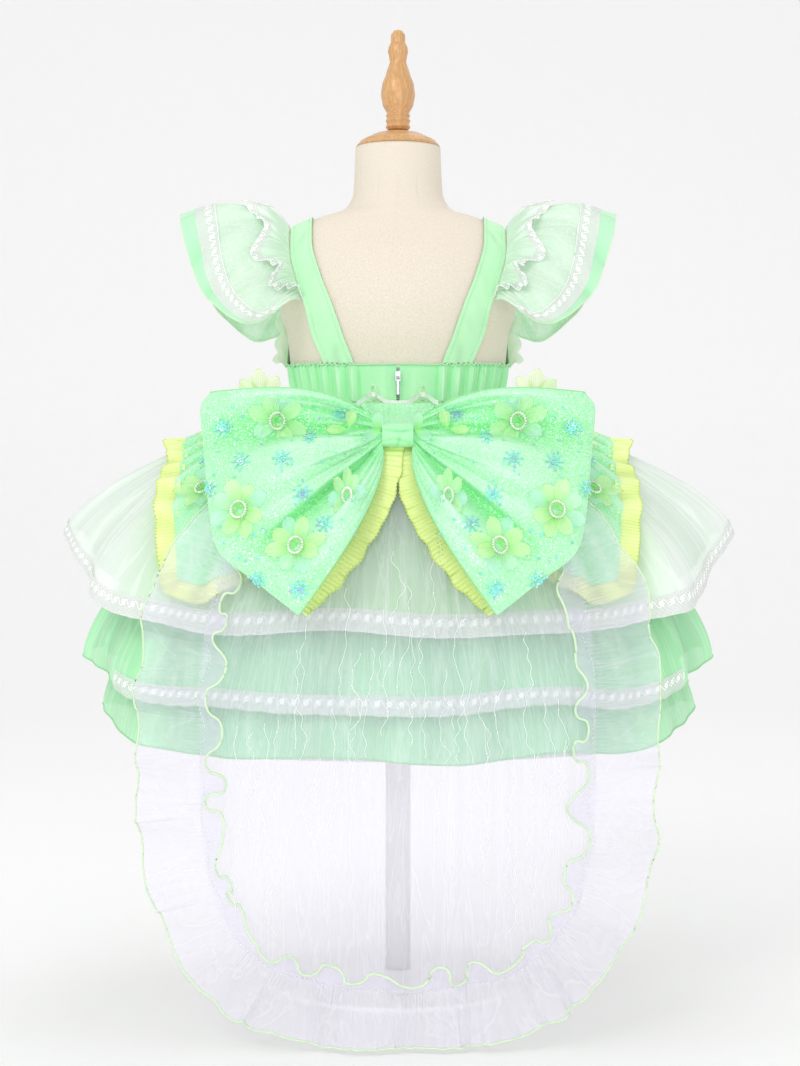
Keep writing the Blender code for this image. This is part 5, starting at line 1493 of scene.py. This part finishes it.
def make_train_threads():
    """Long loose threads that wander down in front of the panel's folds, clear of the bow's
    trims, with small knots along them."""
    draw = np.random.default_rng(64)
    white = finish("Train thread")
    lines, knots = [], []
    for number in range(LOOSE_THREADS):
        across = -0.86 + 0.05 * number + draw.uniform(0, 0.05)
        top = 0.50 - 1.6 * min(abs(across) * 0.15, 0.085) - draw.uniform(0, 0.16)
        long = draw.uniform(0.04, 0.16)
        z = np.linspace(top, max(top - long, 0.075), int(1500 * long))
        t = (top - z) * 16
        drift = 0.0052 * uneven(t, 1, 8, 200 + number) + 0.0014 * uneven(t, 12, 26, 300 + number)
        x = across * along(TRAIN_SIDE, "z", "half_width", z) + drift
        line = point(x, train_y(x, z) - 0.0064, z)
        lines.append(line)
        knots.append(line[draw.integers(0, len(line), 4)])
    strands = tube("train_threads", lines, LOOSE_THREAD, white, 4)
    dots = stamp("train_thread_knots", ball(0.0007, 4, 6), np.concatenate(knots), BEHIND, white)
    return [strands, dots]


# Bow


def bow_back_y(x, z):
    """Depth of the bow's back at a place seen from behind, on a shallow arc."""
    return -along(BOW_BACK, "z", "depth", z) * np.sqrt(1 - (x / BOW_SPAN) ** 2)


def wing_surface(turn, share):
    """A point of the right wing. Turn runs from the knot along the back layer (0), round the
    outer fold (a quarter) and back along the front layer (a half turn); share runs from the
    upper edge to the lower. Folds are bell curves across the share."""
    outwards = np.sin(turn) ** WING_ROUND
    knot_x = KNOT_HALF_WIDTH - 0.0006
    knot_z = KNOT_Z + 0.0095 - 0.019 * share
    edge_x = along(WING_EDGE, "share", "x", share)
    edge_z = along(WING_EDGE, "share", "z", share)
    swell = np.sin(pi * outwards ** 0.7)
    lower = smoothstep((share - 0.55) / 0.45)
    x = knot_x + (edge_x - knot_x) * outwards - 0.0125 * swell * lower
    rise = 0.018 * (1 - smoothstep(share / 0.5)) - 0.005 * lower
    z = knot_z + (edge_z - knot_z) * outwards + swell * rise
    pinch = 0.24 + 0.76 * smoothstep(outwards / 0.55)
    front = (1 - np.cos(turn)) / 2
    slim = 1 - 0.35 * share
    folds = sum(height * bell((share - place) / width) for place, width, height in rows_of(WING_FOLDS))
    crease = folds * front * smoothstep(outwards / 0.25) * smoothstep((1 - outwards) / 0.35)
    depth = LOOP_DEPTH * pinch * front * slim + crease
    return point(x, bow_back_y(x, z) - depth, z)


def wing_grid(columns, rows):
    """The right wing: columns round the loop, rows from the upper edge to the lower, with hand
    placed creases that run out from the knot, and smaller folds that die away. A crease is a
    step across its own line: a crest on one side of it and a trough on the other."""
    turn = columns_at(0, pi, columns)
    share = rows_at(0, 1, rows)
    grid = wing_surface(turn, share)
    outwards = np.sin(turn) ** WING_ROUND
    front = (1 - np.cos(turn)) / 2
    creases = 0
    for near, middle, far, width, step, start, end in rows_of(WING_CREASES):
        bend = (4 * middle - 2 * near - 2 * far) * outwards * (1 - outwards)
        line = near + (far - near) * outwards + bend
        off = (share - line) / (width * (0.5 + 0.8 * outwards))
        strength = smoothstep((outwards - start) / 0.12) * smoothstep((end - outwards) / (0.5 * end))
        creases = creases + step * np.tanh(off * 5) * np.exp(-np.abs(off) ** 1.5) * strength
    strength = smoothstep(outwards / 0.10) * (1 - smoothstep((outwards - 0.10) / 0.60))
    small = 0.0019 * uneven(share * TURN * 0.8, 7, 20, 70) * strength
    long = 0.0015 * uneven(share * TURN * 0.6 + 0.5 * outwards, 5, 14, 71)
    long = long * smoothstep((1 - outwards) / 0.3) * smoothstep(outwards / 0.3)
    out = (small + creases + long) * front ** 2
    return grid + BEHIND * out[..., None]


def wing_front():
    """The right wing's grid, its front layer and that layer's normals."""
    wing = wing_grid(WING_COLUMNS, WING_ROWS)
    front = wing[WING_FRONT:]
    return wing, front, normals(front, False, BEHIND)


def bow_trim_grid(steps, rows, middle):
    """The right pleated trim on the train under the wing's lower edge, from the knot to the
    tip: a band beside the edge line, with sharp pleats. `middle` is how near it comes to the
    centre line; past it, this trim lies on the other one."""
    count = TRIM_PLEATS * 2 * steps + 1
    share = np.linspace(0.03, 0.985, count)
    turn = np.arcsin(share ** (1 / WING_ROUND))
    edge = wing_surface(turn, np.ones(count))
    run = np.gradient(edge[:, [0, 2]], axis=0)
    run = run / np.linalg.norm(run, axis=1, keepdims=True)
    away = np.stack([run[:, 1], -run[:, 0]], axis=1)
    length = length_along(edge)
    edge = edge + point(0.0, 0.0, 0.009 * (1 - smoothstep(share / 0.12)))
    width = TRIM_WIDTH * (1 - 0.75 * share ** 4) * (1.02 + 0.10 * uneven(share * TURN, 3, 9, 75))
    pleat = 0.0010 * triangle_wave(length / PLEAT_PITCH)
    scallop = 0.0009 * np.abs(np.cos(pi * length / PLEAT_PITCH))
    swing = 0.0024 * np.abs(uneven(share * TURN, 4, 11, 76))
    made = []
    for place in np.linspace(-0.30, 1.0, rows):
        reach = width * place + scallop * max(place, 0) ** 4
        x = np.maximum(edge[:, 0] + away[:, 0] * reach, middle)
        z = edge[:, 2] + away[:, 1] * reach
        y = train_y(x, z) - NEST - 0.0022 + pleat * (0.5 + 0.7 * max(place, 0)) - swing * max(place, 0)
        made.append(point(x, y - (0.0016 if middle < 0 else 0), z))
    return np.stack(made, axis=1)


def make_wings():
    """The bow's two wings, with their sequin snowflakes and glitter, the layer between them
    behind the knot, and the two pleated trims."""
    wing, front, facing = wing_front()
    back_half = np.arange(WING_COLUMNS)[:, None, None] < WING_COLUMNS / 2
    towards = np.where(back_half, -BEHIND, BEHIND) + 0 * wing
    net = finish("Glitter net")
    green = finish("Green thread")
    centres, faces = snowflakes(front, facing, WING_SNOWFLAKES)
    for name, flip in mirrored():
        edges = [wing[4:-4, row] * flip for row in (0, -1)]
        sewn = [
            tube("bow_edges_" + name, edges, FINE_THREAD, green),
            sequins("sequins_bow_" + name, (centres + faces * 0.0010) * flip, faces * flip)]
        cloth("net_bow_loop_" + name, wing * flip, net, ["bow_loop_" + name],
            towards=towards)
        trim = bow_trim_grid(8, 7, -0.0075 if name == "left" else 0.0012)
        pleated_trim("bow_trim_" + name, trim * flip, BEHIND, "sheer_train_panel")
    x = columns_at(-0.036, 0.036, 60)
    down = rows_at(0, 1, 22)
    gathers = 0.0012 * uneven(x / 0.036 * 2.4 + 0.4 * down, 6, 20, 77) * np.sin(pi * down)
    middle = point(x * (1 - 0.45 * down), -0.1045 - 0.054 * down ** 1.4 - gathers, 0.5703 - 0.029 * down)
    cloth("net_bow_middle", middle, net, towards=np.array([0, -0.5, 1.0]))


def snowflakes(grid, facing, places):
    """Centres and normals of the sequins of snowflakes laid on a grid, and of some loose ones."""
    draw = np.random.default_rng(80)
    flat = []
    for place_x, place_z, size in rows_of(places):
        flat.append(np.array([place_x, place_z]) + size * flake_points(draw.uniform(0, 0.7)))
    flat.append(np.array([0.03, 0.40]) + np.array([0.14, 0.17]) * draw.uniform(0, 1, (70, 2)))
    at, normal, off = lay_on(grid, facing, *np.concatenate(flat).T)
    keep = off < 0.003 ** 2
    return at[keep], normal[keep]


def make_knot():
    """The bow's knot: a wrapped block of satin with rounded ends, pressed in on its front along
    a crease that slopes across it, an upright fold beside its middle and a drape lower down."""
    turns = columns_at(0, TURN, 96, endpoint=False)
    place = np.concatenate([[-1.0], np.sin(np.linspace(-1, 1, 47) * pi / 2), [1.0]])[None, :]
    middle = np.sqrt(np.clip(1 - place ** 2, 0, 1))
    size = 0.84 + 0.12 * middle
    size[0, 0] = size[0, -1] = 0.01
    soft = np.abs(np.cos(turns)) ** 0.7 * np.sign(np.cos(turns))
    tall = np.abs(np.sin(turns)) ** 0.7 * np.sign(np.sin(turns))
    pleat = 1 + 0.012 * np.cos(19 * place + 2 * turns)
    front = smoothstep(-soft * 1.5)
    crease = 0.17 * bell((tall - 0.34 + 0.10 * np.cos(2.6 * place - 0.3)) / 0.12)
    upright = 0.12 * bell((place - 0.14 - 0.16 * tall) / 0.10) * smoothstep((0.3 - tall) * 2)
    drape = 0.10 * bell((tall + 0.62 - 0.22 * np.cos(2.2 * place + 0.5)) / 0.13)
    pressed = front * middle ** 0.6 * (crease + upright + drape)
    ends = 0.86 + 0.14 * middle
    middle_y = bow_back_y(0.0, KNOT_Z) - KNOT_DEPTH / 2 + 0.001
    depth = KNOT_DEPTH / 2 * (size * soft * pleat * ends + pressed)
    height = KNOT_HALF_HEIGHT * size * tall * pleat
    grid = point(place * KNOT_HALF_WIDTH, middle_y + depth, KNOT_Z + height)
    knot = solid_of_rings("satin_knot", grid, finish("Knot satin"), ["bow_knot"])


# Flowers


def petal_points(count, first, length, width, rise, cup, turn):
    """Petals round a centre, as points (petal, along, across, 3). Each is egg-shaped, narrow at
    the heart and drawn out to a soft point: its width is a sine over its length. Its tip rises,
    its middle is cupped, and petals differ a little in length, turn and rise."""
    around = np.linspace(0.08, 0.985, 10)[None, :, None] * pi
    t = np.linspace(-1, 1, 7)[None, None, :]
    s = (1 - np.cos(around)) / 2
    number = np.arange(count)[:, None, None]
    angle = number / count * TURN + turn + 0.10 * np.cos(5 * number + 20 * turn)
    reach = first + length * (s + 0.06 * s ** 6 * (1 - t * t)) * (1 + 0.09 * np.cos(3 * number + 9 * turn))
    side = width / 2 * t * np.sin(around) ** 1.1 * (0.62 + 0.38 * s)
    height = rise * s ** 1.3 * (1 + 0.6 * np.cos(2.3 * number + turn)) + cup * t * t * np.sin(around)
    cosine, sine = np.cos(angle), np.sin(angle)
    return point(reach * cosine - side * sine, reach * sine + side * cosine, height)


def petal_mesh(name, petals, flip):
    """A mesh of petals, with a UV map that counts them in U and runs from heart to tip in V."""
    count, steps, widths = petals.shape[:3]
    single = grid_faces(steps, widths, False, bool(flip[0] < 0))
    faces = (single[None] + (np.arange(count) * steps * widths)[:, None, None]).reshape(-1, 4)
    s, t = np.meshgrid(np.linspace(0, 1, steps), np.linspace(0.05, 0.95, widths), indexing="ij")
    uv = np.stack([t, s], axis=-1).reshape(-1, 2)[single].reshape(-1, 2)
    uv = (uv[None] + np.array([1.0, 0.0]) * np.arange(count)[:, None, None]).reshape(-1, 2)
    return mesh_of(name, (petals * flip).reshape(-1, 3), faces, uv)


def make_flower(name, solid, centre, facing, upwards, narrow, flip, kind):
    """A flower on the cloth: eight oval petals and a ring of beads round its open green middle.
    It stands square to `facing`."""
    facing = unit(facing)
    across = unit(np.cross(upwards, facing))
    up = np.cross(facing, across)
    petals = petal_points(FLOWER_PETALS, PETAL_START, PETAL_LENGTH, PETAL_WIDTH, 0.0050, 0.0018,
        0.2 + 30 * float(centre[0]))
    petals[..., 2] += 0.0009 * (np.arange(FLOWER_PETALS) % 2)[:, None, None]
    petals = petals * np.array([narrow, 1, 1]) + np.array([0, 0, 0.0006])
    placed = centre + petals[..., :1] * across + petals[..., 1:2] * up + petals[..., 2:] * facing
    show(name, petal_mesh(name, placed, flip), finish(kind), [solid])
    turn = np.linspace(0, TURN, 20, endpoint=False)
    wide, high = BEAD_RING[0] * np.cos(turn)[:, None], BEAD_RING[1] * np.sin(turn)[:, None]
    ring = wide * across * narrow + high * up
    stamp(name + "_beads", ball(BEAD_RADIUS, 5, 8), (centre + ring + facing * 0.0050) * flip, facing * flip,
        finish("Pearl beads"))


def make_flowers():
    """Flowers on the wings, behind their upper edges and on the peplum, and petals by the knot."""
    wing, front, facing = wing_front()
    back = wing[:WING_BACK]
    back_facing = normals(back, False, -BEHIND)
    size = bpy.context.scene.dress_settings.flower_size / 0.048
    upright = np.array([0, 0, 1.0])
    for name, flip in mirrored():
        for number, (x, z, narrow) in enumerate(rows_of(WING_FLOWERS), 1):
            around = 0.008 * np.array([0, 1, -1, 0, 0])
            at, normal, _ = lay_on(front, facing, x + around, z + np.roll(around, 2))
            mean = unit(normal.mean(axis=0) + BEHIND * 0.8)
            centre = at[0] + mean * 0.0014
            kind = ("Blue petals", "Green petals", "Green petals", "Blue petals")[number - 1]
            make_flower(f"petals_wing_{name}_{number}", f"flower_wing_{name}_{number}", centre, mean,
                upright, narrow * size, flip, kind)
        at = lay_on(back, back_facing, *np.array(EDGE_FLOWER)[:, None])[0]
        centre = at[0] + np.array([0, 0.0022, 0.006])
        make_flower("petals_edge_" + name, "flower_edge_" + name, centre, -BEHIND, upright, 1.1 * size,
            flip, "Lime petals")
        for number, (degrees, down) in enumerate(rows_of(PEPLUM_FLOWERS), 1):
            turn = np.array(math.radians(degrees))
            share = down / along(PEPLUM_HEM, "angle", "reach", degrees)
            here = peplum_surface(turn, share)
            square = tier_facing(TIER_A, turn, np.array(down))
            upwards = unit(here - peplum_surface(turn, share + 0.1))
            make_flower(f"petals_peplum_{name}_{number}", f"flower_peplum_{name}_{number}",
                here + square * 0.0018, square, upwards, size, flip, "Green petals")
        at, normal, _ = lay_on(front, facing, LOOSE_PETALS["x"], LOOSE_PETALS["z"])
        petals = []
        for place, square, turn in zip(at, normal, LOOSE_PETALS["turn"]):
            shape = petal_points(1, -0.009, 0.019, 0.0125, 0.0030, 0.0020, turn)
            square = unit(square + BEHIND * 1.2)
            across = unit(np.cross(upright, square))
            turned = shape[..., :1] * across + shape[..., 1:2] * np.cross(square, across)
            petals.append(place + BEHIND * PETAL_LIFT + turned + shape[..., 2:] * square)
        show("petals_loose_" + name, petal_mesh("petals_loose_" + name, np.concatenate(petals), flip),
            finish("Green petals"))


def make_ribbon():
    """The satin ribbon that hangs the bow, run through two thread loops on the band."""
    across = columns_at(-RIBBON_HALF_LENGTH, RIBBON_HALF_LENGTH, 90)
    at_loop = bell((np.abs(across) - RIBBON_LOOP_X) / 0.009)
    outside = smoothstep((np.abs(across) - 0.0255) / 0.0115)
    height = rows_at(-RIBBON_HALF_HEIGHT, RIBBON_HALF_HEIGHT, 7)
    z = RIBBON_Z + 0.0090 * at_loop - 0.0045 * outside + height
    depth = 0.0985 - (0.0985 + RIBBON_LOOP_Y) * at_loop + 0.0515 * outside + 12 * height ** 2
    cloth("satin_ribbon", point(across, -depth, z), finish("Pale ribbon"), ["bow_ribbon"],
        towards=BEHIND)
    turn = np.linspace(0, TURN, 40, endpoint=False)
    for name, side in (("left", -1), ("right", 1)):
        lean = math.radians(45)
        ring = 0.0040 * np.cos(turn)
        x = side * RIBBON_LOOP_X + ring * math.cos(lean)
        y = RIBBON_LOOP_Y + side * ring * math.sin(lean)
        path = point(x, y, 0.5822 + 0.0068 * np.sin(turn))
        tube("thread_loop_" + name, path, EDGE_THREAD, finish("Pale thread"), 8, True,
            ["ribbon_loop_" + name])


# Stage


def make_stage():
    """Pale floor that curves up into a backdrop, soft lights and the camera."""
    settings = bpy.context.scene.dress_settings
    arc = np.linspace(0, pi / 2, 24)
    curve_end = BACKDROP_START + BACKDROP_CURVE
    curve = BACKDROP_START + BACKDROP_CURVE * np.sin(arc)
    y = np.concatenate([[-STUDIO_HALF_WIDTH, BACKDROP_START], curve, [curve_end]])
    z = np.concatenate([[0.0, 0.0], BACKDROP_CURVE * (1 - np.cos(arc)), [BACKDROP_TOP]])
    x = columns_at(-STUDIO_HALF_WIDTH, STUDIO_HALF_WIDTH, 9)
    grid = point(x, y[None, :], z[None, :])
    made, nodes, shader = blank("Floor paper", Roughness=0.95, Emission_Strength=0.05)
    at = nodes.at_point()
    fibre = nodes.noise(at, 40.0, 4.0)
    pale = tuple(settings.floor)
    tint = nodes.mix(nodes.step(fibre, 0.3, 0.7), shaded(pale, 0.985), pale)
    nodes.feed(shader, "Base Color", tint)
    faces = grid_faces(9, len(y), False, False)
    floor = bpy.data.objects.new("studio_floor", mesh_of("studio_floor", grid.reshape(-1, 3), faces))
    floor.data.materials.append(made)
    bpy.context.scene.collection.objects.link(floor)
    world = bpy.data.worlds.new("Studio light")
    world.use_nodes = True
    air = Nodes(world.node_tree)
    seen = air.add("ShaderNodeLightPath").outputs["Is Camera Ray"]
    background = world.node_tree.nodes["Background"]
    background.inputs["Color"].default_value = WHITE
    strength = air.maths("MULTIPLY_ADD", seen, SEEN_PAPER - settings.room_light, settings.room_light)
    world.node_tree.links.new(strength, background.inputs["Strength"])
    bpy.context.scene.world = world
    power = settings.key_light
    lamps = [
        ("key_light", (-1.3, -2.2, 2.3), 1.2, power),
        ("fill_light", (0.4, -2.6, 0.35), 1.8, power * 0.9),
        ("front_light", (0.4, 1.2, 3.2), 1.5, power * 0.5)]
    for name, place, size, power in lamps:
        light = bpy.data.lights.new(name, "AREA")
        light.energy = power
        light.size = size
        lamp = bpy.data.objects.new(name, light)
        lamp.visible_camera = False
        lamp.location = place
        aim = np.array([0, 0, 0.45]) - np.array(place)
        lean = math.atan2(math.hypot(aim[0], aim[1]), -aim[2])
        lamp.rotation_euler = (lean, 0, math.atan2(aim[1], aim[0]) - pi / 2)
        bpy.context.scene.collection.objects.link(lamp)
    camera = bpy.data.cameras.new("photo_camera")
    camera.lens = CAMERA_LENS
    camera.sensor_width = 36.0
    camera.clip_start, camera.clip_end = 0.05, 30
    view = bpy.data.objects.new("photo_camera", camera)
    view.location = (0.002, -CAMERA_DISTANCE, CAMERA_HEIGHT)
    view.rotation_euler = (pi / 2, 0, 0)
    bpy.context.scene.collection.objects.link(view)
    bpy.context.scene.camera = view
    bpy.context.scene.view_settings.view_transform = "Standard"


# Settings, operators and panel


def colour_of(label, about, default):
    """A colour setting."""
    return bpy.props.FloatVectorProperty(name=label, description=about, default=default, size=4, min=0,
        max=1, subtype="COLOR")


class DressSettings(bpy.types.PropertyGroup):
    """Colours and sizes of the dress that a user would change."""
    satin: colour_of("Satin", "Straps, band and knot", linear(196, 248, 200))
    glitter_net: colour_of("Glitter net", "Bow and peplum", linear(172, 246, 188))
    # Painted shade: the net's colour deep in its folds.
    glitter_fold_shade: colour_of("Net in folds", "Glitter net in its deep folds", linear(122, 232, 136))
    organza: colour_of("Organza", "Second and third tier", linear(172, 240, 184))
    pale_organza: colour_of("Pale organza", "First tier", linear(234, 247, 236))
    sleeve_organza: colour_of("Sleeve organza", "Flutter sleeves and their frills", linear(220, 246, 223))
    train: colour_of("Train organza", "Sheer train and ruffle", linear(234, 229, 250))
    pleated_trim: colour_of("Pleated trim", "Trims under the bow and on the peplum", linear(236, 251, 164))
    sequins: colour_of("Sequins", "Snowflake sequins", linear(140, 236, 226))
    linen: colour_of("Linen", "Cover of the dress form", linear(238, 227, 211))
    wood: colour_of("Wood", "Neck cap and finial", linear(222, 170, 112))
    floor: colour_of("Floor", "Studio floor and backdrop", (0.97, 0.97, 0.97, 1.0))
    glitter: bpy.props.FloatProperty(name="Glitter",
        description="Share of the net's cells that hold a speck", default=0.30, min=0, max=1,
        subtype="FACTOR")
    train_sheerness: bpy.props.FloatProperty(name="Train sheerness",
        description="How much shows through the train", default=0.70, min=0, max=0.95, subtype="FACTOR")
    flower_size: bpy.props.FloatProperty(name="Flower size", description="Width of a flower", default=0.048,
        min=0.03, max=0.05, unit="LENGTH")
    room_light: bpy.props.FloatProperty(
        name="Room light", description="Strength of the light from all round", default=0.78, min=0, max=4)
    key_light: bpy.props.FloatProperty(
        name="Key light", description="Power of the main lamp", default=19.0, min=0, max=500, unit="POWER")


def piece_operator(label, *makers):
    """An operator class that makes one group of pieces."""
    def execute(self, context):
        for maker in makers:
            maker()
        return {"FINISHED"}
    word = "add_" + label.lower().replace(" ", "_")
    about = "\n".join(maker.__doc__ for maker in makers)
    return type("DRESS_OT_" + word, (bpy.types.Operator,), {
        "bl_idname": "dress." + word, "bl_label": label, "__doc__": about, "execute": execute})


OPERATORS = [piece_operator(*row) for row in (
    ("Dress form", make_form), ("Zip", make_zip), ("Bodice", make_bodice), ("Straps", make_straps),
    ("Sleeves", make_sleeves), ("Side petals", make_side_frills), ("Skirts", make_skirts),
    ("Peplum", make_peplum), ("Train", make_train), ("Bow", make_knot, make_wings),
    ("Ribbon", make_ribbon), ("Flowers", make_flowers), ("Stage", make_stage))]


class DRESS_PT_sidebar(bpy.types.Panel):
    """Lists the dress's settings and the operators that make its pieces."""
    bl_label = "Lolita dress"
    bl_idname = "DRESS_PT_sidebar"
    bl_space_type = "VIEW_3D"
    bl_region_type = "UI"
    bl_category = "Lolita dress"

    def draw(self, context):
        for name in DressSettings.__annotations__:
            self.layout.prop(context.scene.dress_settings, name)
        for operator in OPERATORS:
            self.layout.operator(operator.bl_idname)


CLASSES = [DressSettings, *OPERATORS, DRESS_PT_sidebar]


def register():
    """Make the settings, operators and panel known to Blender."""
    for made in CLASSES:
        bpy.utils.register_class(made)
    bpy.types.Scene.dress_settings = bpy.props.PointerProperty(type=DressSettings)


def unregister():
    """Take them away again."""
    del bpy.types.Scene.dress_settings
    for made in reversed(CLASSES):
        bpy.utils.unregister_class(made)


def main():
    """Make every piece in order, and write the two boxes."""
    register()
    for operator in OPERATORS:
        getattr(bpy.ops.dress, operator.bl_idname.split(".")[1])()


if __name__ == "__main__":
    main()
